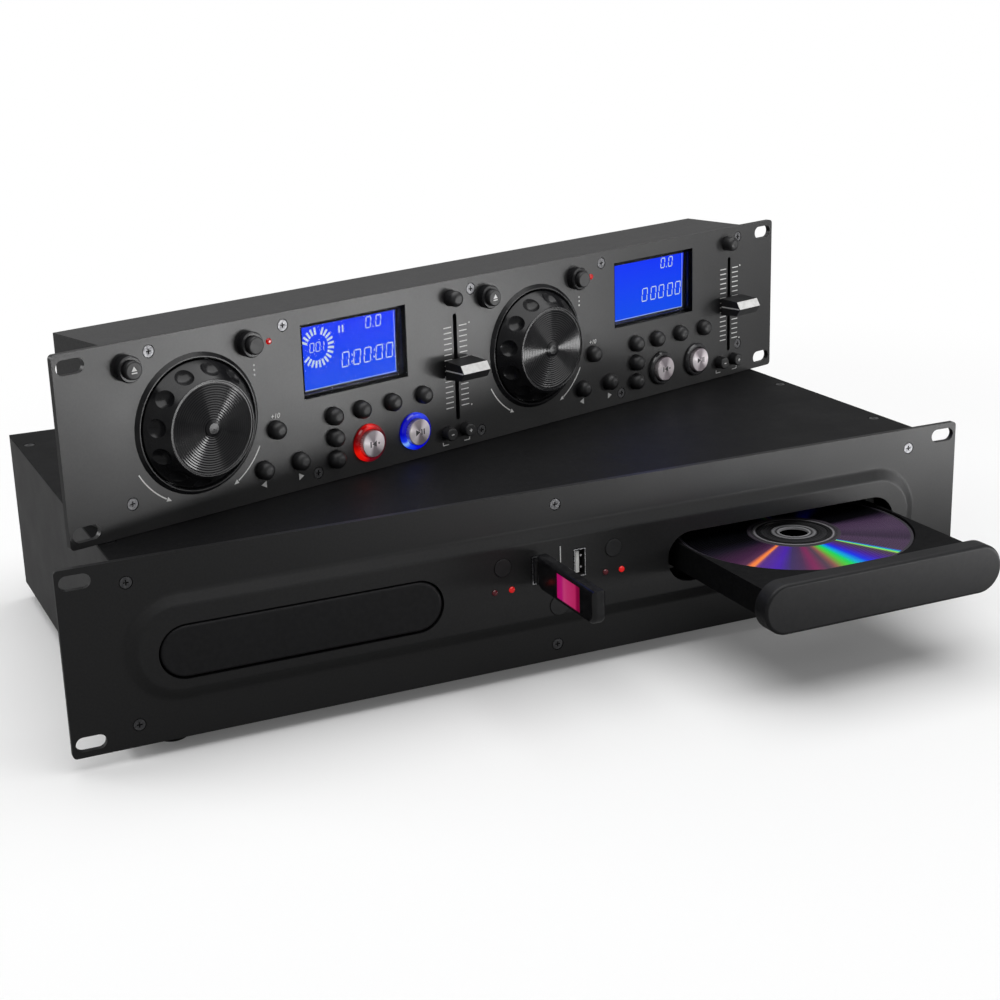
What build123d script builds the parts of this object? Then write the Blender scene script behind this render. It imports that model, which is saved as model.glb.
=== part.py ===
"""Twin disc player: a rack transport with two disc drawers, and its rack controller standing on it.

Millimetres. The origin is the centre of the transport's four rack slots, on its front face.
+X is to the right, +Y goes back into the case and +Z is up. Both front panels are drawn on a
"face" plane: local x to the right, local y up, local z out towards the user.
"""

import os
from math import cos, radians, sin

from build123d import *

os.makedirs("parts", exist_ok=True)

# ---------------------------------------------------------------- rack standard, both units
rack_width = 482.6
unit_height = 88.9
slot_spacing_x = 465.1
slot_spacing_z = 76.2
slot_length = 14.0
slot_width = 7.0
panel_thickness = 3.0
panel_corner_radius = 2.0
case_width = 431.4
sheet = 1.2

# ---------------------------------------------------------------- clearances
rest_gap = 0.3
running_gap = 0.05
button_gap = 0.25
seam_gap = 0.1
inlay_depth = 0.2

# ---------------------------------------------------------------- screws
screw_head_radius = 2.7
screw_head_height = 1.3
screw_shank_radius = 1.4
screw_hole_radius = 1.5
screw_socket_radius = 1.3
screw_socket_share = 0.6
flat_head_height = 0.5
screw_length = 6.0
counterbore_radius = 3.1
counterbore_depth = 1.4

# ---------------------------------------------------------------- transport case
case_depth = 242.0
case_bottom_margin = 1.85
case_top_margin = 0.45
case_bottom_z = case_bottom_margin - unit_height / 2
case_top_z = unit_height / 2 - case_top_margin
case_flange = 12.0
front_frame_width = 12.0
front_frame_height = 10.0
cover_screw_front_y = 30.0
cover_screw_rear_margin = 24.0
cover_rear_screw_x = 70.0

# ---------------------------------------------------------------- transport panel
plateau_side_margin = 1.2
plateau_length = case_width - 2 * plateau_side_margin
plateau_height = 51.0
plateau_rise = 3.0
plateau_slope = 5.5
plateau_hollow_step = 4.5
plateau_edge_radius = 3.0
plateau_foot_radius = 4.0
drawer_side_margin = 85.2
drawer_x = case_width / 2 - drawer_side_margin
drawer_z = -2.1
drawer_opening_length = 138.4
drawer_opening_height = 26.6
panel_screw_inset = 5.2
panel_screw_x = case_width / 2 - panel_screw_inset
panel_screw_drop = 10.45
panel_screw_z = unit_height / 2 - panel_screw_drop
panel_middle_screw_drop = 8.05
panel_middle_screw_z = unit_height / 2 - panel_middle_screw_drop

source_button_x = 30.2
source_button_z = 9.8
source_button_radius = 4.4
power_button_z = -14.6
power_button_radius = 5.2
flush_button_height = 0.4
power_travel = 1.5
source_led_step = 4.55
source_led_z = -2.1
led_radius = 1.5
led_height = 1.0

usb_x = 11.4
usb_z = 5.6
usb_shell_width = 6.2
usb_shell_height = 14.2
usb_shell_wall = 0.4
usb_shell_proud = 0.3
usb_hole_gap = 0.3
usb_tongue_width = 1.9
usb_tongue_height = 11.0
usb_tongue_offset = -0.85
usb_tongue_setback = 1.2

# ---------------------------------------------------------------- drawers and disc
bezel_length = 136.8
bezel_height = 25.0
bezel_thickness = 9.5
bezel_edge_radius = 1.6
tray_width = 123.6
tray_top_z = 5.0
tray_plate_thickness = 6.0
tray_skirt_thickness = 3.6
tray_bottom_z = -9.0
tray_rear_margin = 66.0
tray_corner_radius = 8.0
bezel_to_disc = 79.0
drawer_travel = 88.0
disc_radius = 60.0
disc_hole_radius = 7.5
disc_thickness = 1.2
disc_hub_radius = 18.0
disc_ring_height = 0.25
disc_seat_gap = 0.8
disc_seat_depth = 2.5
small_seat_radius = 40.6
small_seat_depth = 1.0
hub_window_radius = 19.0
hub_window_width = 36.0
seat_notch_width = 26.0
seat_notch_depth = 1.6
seat_notch_reach = 6.0

# ---------------------------------------------------------------- loader under each drawer
loader_wall = 2.4
loader_front_y = 8.0
loader_length = 150.0
loader_floor_z = -24.0
loader_floor_thickness = 2.0
loader_wall_top_z = 8.0
lip_reach = 2.6
lip_thickness = 1.8
lip_length = 30.0
loader_leg_radius = 4.0
loader_leg_inset = 10.0
loader_window_length = 110.0
loader_window_width = 84.0
bridge_width = 34.0
bridge_thickness = 1.6
clamp_radius = 15.0
clamp_thickness = 4.0
clamp_lift = 0.6
spindle_motor_radius = 12.0
spindle_hub_radius = 14.0
spindle_hub_top_z = -2.6
sled_plate_thickness = 2.0
rod_radius = 1.5
rod_spacing = 46.0
rod_length = 62.0
pickup_length = 24.0
pickup_height = 8.0
lens_radius = 3.2
drive_gear_radius = 11.0
drive_gear_teeth = 24
drive_gear_thickness = 3.0
drive_motor_radius = 7.5
drive_motor_length = 12.0

# ---------------------------------------------------------------- electronics in the transport
board_thickness = 1.6
front_board_y = 12.0
front_board_side_gap = 2.0
front_board_height = 50.0
board_post_radius = 2.5
board_post_inset = 5.0
base_board_lift = 8.6
base_board_z = case_bottom_z + base_board_lift
base_board_width = 104.0
supply_board_y = 20.0
supply_board_length = 86.0
main_board_y = 116.0
main_board_rear_margin = 17.0
main_board_length = case_depth + panel_thickness - main_board_rear_margin - main_board_y
transformer_x = -20.0
transformer_width = 52.0
transformer_length = 44.0
transformer_height = 40.0
bobbin_overhang = 6.0
capacitor_radius = 6.5
capacitor_height = 22.0
capacitor_x = 30.0
capacitor_pitch = 18.0
chip_size = 16.0
chip_spacing = 50.0
chip_step_y = 34.0
chip_height = 1.8

switch_size = 6.0
switch_height = 3.5
plunger_radius = 1.75
plunger_height = 0.9
stem_radius = 1.5
flange_step = 0.7
flange_thickness = 1.2
press_travel = 0.8
stem_gap = 0.9

# ---------------------------------------------------------------- rear sockets
inlet_side_margin = 50.7
inlet_x = inlet_side_margin - case_width / 2
inlet_z = -18.0
inlet_length = 27.0
inlet_height = 19.5
inlet_depth = 18.0
inlet_cavity_length = 24.2
inlet_cavity_height = 16.4
inlet_cavity_depth = 15.0
inlet_flange = 3.0
inlet_pin_radius = 1.2
inlet_pin_step = 7.0
phono_radius = 4.2
phono_proud = 8.0
phono_pin_radius = 1.6
phono_flange = 13.0
phono_positions = [(60.0, -12.0), (60.0, -28.0), (90.0, -12.0), (90.0, -28.0)]
din_radius = 6.8
din_bore_radius = 4.75
din_insert_radius = 3.7
din_insert_setback = 0.8
din_proud = 1.5
din_depth = 10.0
din_positions = [(-10.0, -20.0), (20.0, -20.0)]
controller_din_positions = [(-60.0, -18.0), (60.0, -18.0)]

# ---------------------------------------------------------------- feet
foot_side_margin = 24.2
foot_x = case_width / 2 - foot_side_margin
foot_front_y = 20.0
foot_rear_margin = 23.0
foot_rear_y = case_depth + panel_thickness - foot_rear_margin
foot_radius = 8.0
foot_height = 9.0
foot_taper = 1.0

# ---------------------------------------------------------------- memory stick
stick_thickness = 7.0
stick_height = 17.0
stick_lift = 1.3
stick_start = 5.5
stick_length = 58.5
stick_edge = 2.2
stick_tip_radius = 5.0
stick_window_start = 26.5
stick_window_length = 24.0
stick_window_recess = 0.5
plug_width = 4.5
plug_height = 12.0
plug_length = 12.5
plug_wall = 0.3

# ---------------------------------------------------------------- controller place and case
controller_yaw = 17.3
controller_x = 2.0
controller_y = 95.3
controller_case_width = 431.4
controller_case_depth = 41.5
controller_case_margin = 0.2
deck_spacing = 215.0
control_board_depth = 14.5
control_board_side_margin = 3.7
control_board_width = controller_case_width - 2 * control_board_side_margin
control_board_edge_margin = 4.45
control_board_height = unit_height - 2 * control_board_edge_margin
tab_width = 9.0
tab_length = 10.0
tab_screw_drop = 6.25
tab_screw_z = unit_height / 2 - tab_screw_drop
tab_step = 1.0
side_tab_length = 13.0

# ---------------------------------------------------------------- controller front, per deck
jog_x = -63.2
jog_z = 0.3
jog_ring_radius = 33.5
jog_ring_lip_radius = 31.2
jog_ring_height = 1.6
jog_well_radius = 30.6
jog_well_wall = 1.0
jog_well_depth = 9.0
jog_well_floor = 1.4
jog_hub_bore_gap = 0.3
jog_radius = 29.9
jog_shoulder_height = 1.5
jog_disc_radius = 22.9
jog_height = 13.0
jog_rim_width = 0.9
jog_disc_recess = 0.5
jog_wall = 2.4
jog_skirt_depth = 6.0
jog_shaft_radius = 3.0
jog_cap_radius = 4.2
jog_cap_height = 1.2
dimple_count = 12
dimple_turn = -9.0
dimple_sphere_radius = 7.0
dimple_depth = 1.9
encoder_radius = 7.0
encoder_bore_depth = 4.0

display_x = 30.1
display_z = 18.2
display_length = 65.0
display_height = 37.0
display_flange = 2.0
display_pane_flange_thickness = 1.0
module_height = 8.0
screen_length = 58.0
screen_height = 31.7
screen_recess = 1.0
screen_thickness = 0.6
module_leg_radius = 1.5

fader_x = 94.9
fader_z = -1.2
fader_slot_length = 56.4
fader_slot_width = 2.6
fader_travel = 21.3
blade_width = 1.2
blade_height = 5.0
blade_standoff = 2.0
cap_width = 18.0
cap_back_height = 10.0
cap_front_height = 8.2
cap_length = 14.5
cap_shoulder = 12.0
track_width = 9.0
track_length = 60.0
track_height = 6.5
channel_length = 49.0
channel_depth = 5.0

halo_radius = 9.65
halo_inner_radius = 7.3
halo_height = 2.4
halo_flange = 0.9
deck_led_x = -20.8
deck_led_z = 31.9

collar_wall = 1.0
collar_height = 4.6
collar_flange = 0.6
collar_lip = 0.8

# name: (x, z) on one deck, from the deck's centre line and the panel's mid height
deck_buttons = {
    "eject": (-98.0, 32.6),
    "jog_mode": (-32.6, 32.7),
    "plus_ten": (-20.1, -11.5),
    "track_back": (-28.6, -29.8),
    "track_forward": (-7.4, -29.8),
    "time": (14.3, -11.5),
    "single": (14.3, -22.5),
    "program": (14.3, -33.5),
    "loop_in": (31.6, -11.5),
    "loop_out": (51.2, -11.5),
    "reloop": (71.6, -11.5),
    "cue": (35.4, -29.4),
    "play": (65.2, -29.4),
    "pitch": (92.5, 35.4),
    "bend_down": (86.9, -35.2),
    "bend_up": (99.4, -35.2),
}
# style: (cap radius, height above the panel, edge radius)
button_styles = {
    "dome": (4.5, 5.2, 3.4),
    "collared": (4.3, 7.4, 0.8),
    "tall": (4.1, 7.0, 2.6),
    "small": (3.5, 4.8, 0.8),
    "lit": (6.9, 4.4, 0.5),
}
style_of = dict.fromkeys(deck_buttons, "dome")
style_of.update(eject="collared", jog_mode="collared", pitch="tall")
style_of.update(bend_down="small", bend_up="small", cue="lit", play="lit")

# screws of the controller's upper and lower tabs: (x, 1 for upper or -1 for lower)
flange_screws_at = [(-193.2, 1), (-119.8, 1), (-1.0, 1), (95.0, 1), (210.0, 1)]
flange_screws_at += [(-104.2, -1), (3.4, -1), (110.0, -1)]
# screws of its side tabs: (side, inset from the case's side, z)
side_screws_at = [(-1, 7.4, -30.0), (1, 4.9, -26.5)]
board_post_edge = 2.0
low_post_z = board_post_edge - control_board_height / 2
board_posts_on_deck = [(-15.0, 12.0), (78.0, 20.0), (50.3, low_post_z), (-101.5, 2.0)]

# ---------------------------------------------------------------- derived places
yaw = radians(controller_yaw)
transport_face = Plane(origin=(0, 0, 0), x_dir=(1, 0, 0), z_dir=(0, -1, 0))
controller_z = case_top_z + rest_gap + unit_height / 2
controller_face = Plane(
    origin=(controller_x, controller_y, controller_z),
    x_dir=(cos(yaw), sin(yaw), 0),
    z_dir=(sin(yaw), -cos(yaw), 0),
)
decks = {"left": -deck_spacing / 2, "right": deck_spacing / 2}
drawers = {"left": -drawer_x, "right": drawer_x}
drawer_shift = {"left": 0.0, "right": -drawer_travel}
lid_z = case_top_z - sheet
control_board_back = control_board_depth + board_thickness
controller_case_top = unit_height / 2 - controller_case_margin
disc_seat_z = tray_top_z - disc_seat_depth
disc_z = disc_seat_z + rest_gap
disc_y = bezel_to_disc - plateau_rise
tray_centre_z = tray_top_z - tray_plate_thickness


# ---------------------------------------------------------------- helpers
def save(shape, name):
    """Label a finished piece and write its file."""
    shape.label = name
    export_step(shape, f"parts/{name}.step")


def group(name, *pieces):
    """Write several separate solids as one node."""
    solids = [solid for piece in pieces for solid in piece.solids()]
    save(Compound(solids), name)


def section_plane(face, x, z):
    """Half-section of a round piece at a point of a face: radius first, height out of it second."""
    return Plane(
        origin=face.from_local_coords((x, z, 0)), x_dir=face.x_dir, z_dir=-face.y_dir
    )


def turned(face, x, z, outline):
    """Round solid standing square to a face, from its (radius, height) corners."""
    cut = section_plane(face, x, z)
    with BuildPart() as solid:
        with BuildSketch(cut):
            with BuildLine():
                Polyline(*outline, close=True)
            make_face()
        revolve(axis=Axis(cut.origin, face.z_dir))
    return solid.part


def discs(face, points, radius, start, end):
    """Plain round solids at points of a face, from one height to another."""
    with BuildPart() as solid:
        with BuildSketch(face.offset(start)):
            with Locations(*points):
                Circle(radius)
        extrude(amount=end - start)
    return solid.part


def block(face, x, z, width, height, start, end):
    """Rectangular solid on a face, from one height to another."""
    with BuildPart() as solid:
        with BuildSketch(face.offset(start)):
            with Locations((x, z)):
                Rectangle(width, height)
        extrude(amount=end - start)
    return solid.part


def floor_block(x, y, width, length, low, high):
    """Rectangular solid seen from above, between two heights."""
    with BuildPart() as solid:
        with BuildSketch(Plane.XY.offset(low)):
            with Locations((x, y)):
                Rectangle(width, length)
        extrude(amount=high - low)
    return solid.part


def push_button(face, x, z, style, front, back, stem_end):
    """Moulded button: rounded cap, retaining flange behind the panel and a stem to its switch.

    front is the height that the cap's own height is counted from, back the panel's rear face.
    """
    radius, height, edge = style
    top = front + height
    flange_front = back - rest_gap
    flange_back = flange_front - flange_thickness
    flange_radius = radius + flange_step
    cut = section_plane(face, x, z)
    with BuildPart() as solid:
        with BuildSketch(cut):
            with BuildLine():
                outline = Polyline(
                    (radius - edge, top),
                    (0, top),
                    (0, stem_end),
                    (stem_radius, stem_end),
                    (stem_radius, flange_back),
                    (flange_radius, flange_back),
                    (flange_radius, flange_front),
                    (radius, flange_front),
                    (radius, top - edge),
                )
                JernArc(outline @ 1, (0, 1), edge, 90)
            make_face()
        revolve(axis=Axis(cut.origin, face.z_dir))
    return solid.part


def tact_switches(face, points, board_front):
    """Square switch bodies on a board, each with its round plunger."""
    body_top = board_front + switch_height
    with BuildPart() as solid:
        with BuildSketch(face.offset(board_front)):
            with Locations(*points):
                Rectangle(switch_size, switch_size)
        extrude(amount=switch_height)
        with BuildSketch(face.offset(body_top)):
            with Locations(*points):
                Circle(plunger_radius)
        extrude(amount=plunger_height)
    return solid.part


def stem_end_above(board_front):
    """Height of a button's stem over a switch on a board."""
    return board_front + switch_height + plunger_height + stem_gap


def screws(face, points, seat, head_height=screw_head_height):
    """Screws with a cross recess, the undersides of their heads seated at one height."""
    top = seat + head_height
    with BuildPart() as solid:
        with BuildSketch(face.offset(seat)):
            with Locations(*points):
                Circle(screw_head_radius)
        extrude(amount=head_height)
        with BuildSketch(face.offset(seat)):
            with Locations(*points):
                Circle(screw_shank_radius)
        extrude(amount=-screw_length)
        with BuildSketch(face.offset(top)):
            with Locations(*points):
                Rectangle(2 * screw_socket_radius, screw_socket_radius / 2)
                Rectangle(screw_socket_radius / 2, 2 * screw_socket_radius)
        extrude(amount=-screw_socket_share * head_height, mode=Mode.SUBTRACT)
    return solid.part


def led(face, x, z, back):
    """Small domed lamp on a light guide that runs back to its board."""
    return turned(
        face,
        x,
        z,
        [
            (0, back),
            (led_radius, back),
            (led_radius, led_height * 0.3),
            (led_radius * 0.8, led_height * 0.75),
            (led_radius * 0.4, led_height),
            (0, led_height),
        ],
    )


def din_socket(face, x, z):
    """Round control socket on a rear wall: a shell, and an insert with a ring gap round it."""
    return turned(
        face,
        x,
        z,
        [
            (0, -din_depth),
            (din_radius, -din_depth),
            (din_radius, din_proud),
            (din_bore_radius, din_proud),
            (din_bore_radius, -din_depth / 2),
            (din_insert_radius, -din_depth / 2),
            (din_insert_radius, din_proud - din_insert_setback),
            (0, din_proud - din_insert_setback),
        ],
    )


# ================================================================ transport: front panel
source_points = [(-source_button_x, source_button_z), (source_button_x, source_button_z)]
led_points = [
    (side * source_button_x + step, source_led_z)
    for side in (-1, 1)
    for step in (-source_led_step, source_led_step)
]
transport_screw_points = [
    (side * panel_screw_x, level * panel_screw_z) for side in (-1, 1) for level in (-1, 1)
] + [(0, panel_middle_screw_z), (0, -panel_middle_screw_z)]
loader_side_x = drawer_x - tray_width / 2 - rest_gap - loader_wall
front_board_width = 2 * (loader_side_x - front_board_side_gap)
front_post_points = [
    (
        side * (front_board_width / 2 - board_post_inset),
        level * (front_board_height / 2 - board_post_inset),
    )
    for side in (-1, 1)
    for level in (-1, 1)
]
usb_points = [(-usb_x, usb_z), (usb_x, usb_z)]
plateau_inner = 2 * plateau_slope
hollow = 2 * plateau_hollow_step

with BuildPart() as transport_front_panel:
    with BuildSketch(transport_face):
        RectangleRounded(rack_width, unit_height, panel_corner_radius)
        with GridLocations(slot_spacing_x, slot_spacing_z, 2, 2):
            SlotOverall(slot_length, slot_width, mode=Mode.SUBTRACT)
    extrude(amount=-panel_thickness)
    with BuildSketch(transport_face):
        SlotOverall(plateau_length, plateau_height)
    with BuildSketch(transport_face.offset(plateau_rise)):
        SlotOverall(plateau_length - plateau_inner, plateau_height - plateau_inner)
    loft(ruled=True)
    fillet(transport_front_panel.faces().sort_by(Axis.Y)[0].edges(), plateau_edge_radius)
    face_edges = transport_front_panel.edges().filter_by_position(Axis.Y, -seam_gap, seam_gap)
    plateau_foot = [
        edge
        for edge in face_edges
        if abs(edge.center().X) < plateau_length / 2 + seam_gap
        and abs(edge.center().Z) < plateau_height / 2 + seam_gap
    ]
    fillet(plateau_foot, plateau_foot_radius)
    with BuildSketch(transport_face.offset(-panel_thickness)):
        SlotOverall(plateau_length - hollow, plateau_height - hollow)
    extrude(amount=panel_thickness, mode=Mode.SUBTRACT)
    with BuildSketch(transport_face):
        with Locations(*front_post_points):
            Circle(board_post_radius)
    extrude(amount=-front_board_y)
    with BuildSketch(transport_face.offset(plateau_rise)):
        for x in drawers.values():
            with Locations((x, drawer_z)):
                SlotOverall(drawer_opening_length, drawer_opening_height)
        with Locations(*source_points):
            Circle(source_button_radius + button_gap)
        with Locations((0, power_button_z)):
            Circle(power_button_radius + button_gap)
        with Locations(*led_points):
            Circle(led_radius + seam_gap)
        with Locations(*usb_points):
            Rectangle(usb_shell_width + 2 * usb_hole_gap, usb_shell_height + 2 * usb_hole_gap)
    extrude(amount=-plateau_rise - panel_thickness, mode=Mode.SUBTRACT)
    with BuildSketch(transport_face):
        with Locations(*transport_screw_points):
            Circle(counterbore_radius)
    extrude(amount=-counterbore_depth, mode=Mode.SUBTRACT)
    with BuildSketch(transport_face):
        with Locations(*transport_screw_points):
            Circle(screw_hole_radius)
    extrude(amount=-panel_thickness, mode=Mode.SUBTRACT)
save(transport_front_panel.part, "transport_front_panel")

# ================================================================ transport: case
case_height = lid_z - case_bottom_z
case_mid_z = (lid_z + case_bottom_z) / 2
case_end_y = panel_thickness + case_depth
transport_rear = Plane(origin=(0, case_end_y, 0), x_dir=(1, 0, 0), z_dir=(0, 1, 0))


def rear_point(x, z):
    """A point of the transport's rear face, given with x to the right seen from the front."""
    return (x, -z)


cover_screw_points = [
    (side * (case_width / 2 - case_flange / 2), y)
    for side in (-1, 1)
    for y in (cover_screw_front_y, case_depth / 2, case_depth - cover_screw_rear_margin)
] + [(side * cover_rear_screw_x, case_depth - case_flange / 2) for side in (-1, 1)]
foot_points = [(side * foot_x, y) for side in (-1, 1) for y in (foot_front_y, foot_rear_y)]

with BuildPart() as transport_chassis:
    with BuildSketch(Plane.XY.offset(case_bottom_z)):
        with Locations((0, panel_thickness + case_depth / 2)):
            Rectangle(case_width, case_depth)
    extrude(amount=case_height)
    with BuildSketch(Plane.XY.offset(case_bottom_z + sheet)):
        with Locations((0, panel_thickness + case_depth / 2)):
            Rectangle(case_width - 2 * sheet, case_depth - 2 * sheet)
    extrude(amount=case_height - 2 * sheet, mode=Mode.SUBTRACT)
    with BuildSketch(Plane.XY.offset(lid_z - sheet)):
        with Locations((0, panel_thickness + case_depth / 2)):
            Rectangle(case_width - 2 * case_flange, case_depth - 2 * case_flange)
    extrude(amount=sheet, mode=Mode.SUBTRACT)
    with BuildSketch(transport_face.offset(-panel_thickness)):
        with Locations((0, case_mid_z)):
            Rectangle(
                case_width - 2 * front_frame_width, case_height - 2 * front_frame_height
            )
    extrude(amount=-sheet, mode=Mode.SUBTRACT)
    with BuildSketch(transport_face.offset(-panel_thickness)):
        with Locations(*transport_screw_points):
            Circle(screw_hole_radius)
    extrude(amount=-sheet, mode=Mode.SUBTRACT)
    with BuildSketch(transport_rear):
        with Locations(rear_point(inlet_x, inlet_z)):
            Rectangle(inlet_length + 2 * seam_gap, inlet_height + 2 * seam_gap)
        with Locations(*[rear_point(x, z) for x, z in phono_positions]):
            Circle(phono_radius + seam_gap)
        with Locations(*[rear_point(x, z) for x, z in din_positions]):
            Circle(din_radius + seam_gap)
    extrude(amount=-sheet, mode=Mode.SUBTRACT)
    with BuildSketch(Plane.XY.offset(lid_z)):
        with Locations(*cover_screw_points):
            Circle(screw_hole_radius)
    extrude(amount=-sheet, mode=Mode.SUBTRACT)
    with BuildSketch(Plane.XY.offset(case_bottom_z)):
        with Locations(*foot_points):
            Circle(screw_hole_radius)
    extrude(amount=sheet, mode=Mode.SUBTRACT)
save(transport_chassis.part, "transport_chassis")

with BuildPart() as transport_cover:
    with BuildSketch(Plane.XY.offset(lid_z)):
        with Locations((0, panel_thickness + case_depth / 2)):
            Rectangle(case_width, case_depth)
        with Locations(*cover_screw_points):
            Circle(screw_hole_radius, mode=Mode.SUBTRACT)
    extrude(amount=sheet)
    with BuildSketch(Plane.XY.offset(case_top_z)):
        with Locations(*cover_screw_points):
            Circle(counterbore_radius)
    extrude(amount=-sheet / 2, mode=Mode.SUBTRACT)
save(transport_cover.part, "transport_cover")

# ================================================================ transport: drawers
def drawer(side):
    """One drawer: the moulded tray and the bezel clipped to its front edge."""
    x = drawers[side]
    shift = drawer_shift[side]
    bezel_front_y = shift - plateau_rise
    bezel_rear_y = bezel_front_y + bezel_thickness
    centre_y = disc_y + shift
    rear_y = centre_y + tray_rear_margin
    length = rear_y - bezel_rear_y
    middle_y = (rear_y + bezel_rear_y) / 2
    with BuildPart() as bezel:
        with BuildSketch(transport_face.offset(-bezel_front_y)):
            with Locations((x, drawer_z)):
                SlotOverall(bezel_length, bezel_height)
        extrude(amount=-bezel_thickness)
        front_rim = bezel.faces().sort_by(Axis.Y)[0].edges()
        fillet(front_rim, bezel_edge_radius)
    skirt_x = (tray_width - tray_skirt_thickness) / 2
    with BuildPart() as tray:
        with BuildSketch(Plane.XY.offset(tray_centre_z)):
            with Locations((x, middle_y)):
                Rectangle(tray_width, length)
        extrude(amount=tray_plate_thickness)
        with BuildSketch(Plane.XY.offset(tray_bottom_z)):
            with Locations((x - skirt_x, middle_y), (x + skirt_x, middle_y)):
                Rectangle(tray_skirt_thickness, length)
        extrude(amount=tray_centre_z - tray_bottom_z)
        rear_corners = tray.edges().filter_by(Axis.Z).group_by(Axis.Y)[-1]
        fillet(rear_corners, tray_skirt_thickness / 2 - seam_gap)
        with BuildSketch(Plane.XY.offset(disc_seat_z)):
            with Locations((x, centre_y)):
                Circle(disc_radius + disc_seat_gap)
        extrude(amount=disc_seat_depth, mode=Mode.SUBTRACT)
        with BuildSketch(Plane.XY.offset(disc_seat_z - seat_notch_depth)):
            with Locations(
                (x, centre_y - disc_radius),
                (x, centre_y + disc_radius),
            ):
                Rectangle(seat_notch_width, seat_notch_reach)
        extrude(amount=disc_seat_depth + seat_notch_depth, mode=Mode.SUBTRACT)
        with BuildSketch(Plane.XY.offset(disc_seat_z - small_seat_depth)):
            with Locations((x, centre_y)):
                Circle(small_seat_radius)
        extrude(amount=small_seat_depth, mode=Mode.SUBTRACT)
        with BuildSketch(Plane.XY.offset(tray_centre_z)):
            with Locations((x, centre_y)):
                Circle(hub_window_radius)
            with Locations((x, centre_y + tray_rear_margin / 2)):
                Rectangle(hub_window_width, tray_rear_margin - tray_corner_radius)
        extrude(amount=tray_plate_thickness, mode=Mode.SUBTRACT)
    return bezel.part, tray.part


for side in drawers:
    group(f"tray_{side}", *drawer(side))

disc_x = drawers["right"]
disc_rest_y = disc_y + drawer_shift["right"]
disc_plane = Plane.XY.offset(disc_z)
ring_top = disc_thickness + disc_ring_height
with BuildPart() as disc:
    with BuildSketch(disc_plane):
        with Locations((disc_x, disc_rest_y)):
            Circle(disc_radius)
            Circle(disc_hole_radius, mode=Mode.SUBTRACT)
    extrude(amount=disc_thickness)
    with BuildSketch(disc_plane.offset(disc_thickness)):
        with Locations((disc_x, disc_rest_y)):
            Circle(disc_hub_radius)
            Circle(disc_hub_radius - 2 * disc_ring_height, mode=Mode.SUBTRACT)
    extrude(amount=disc_ring_height)
save(disc.part, "disc")


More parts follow.
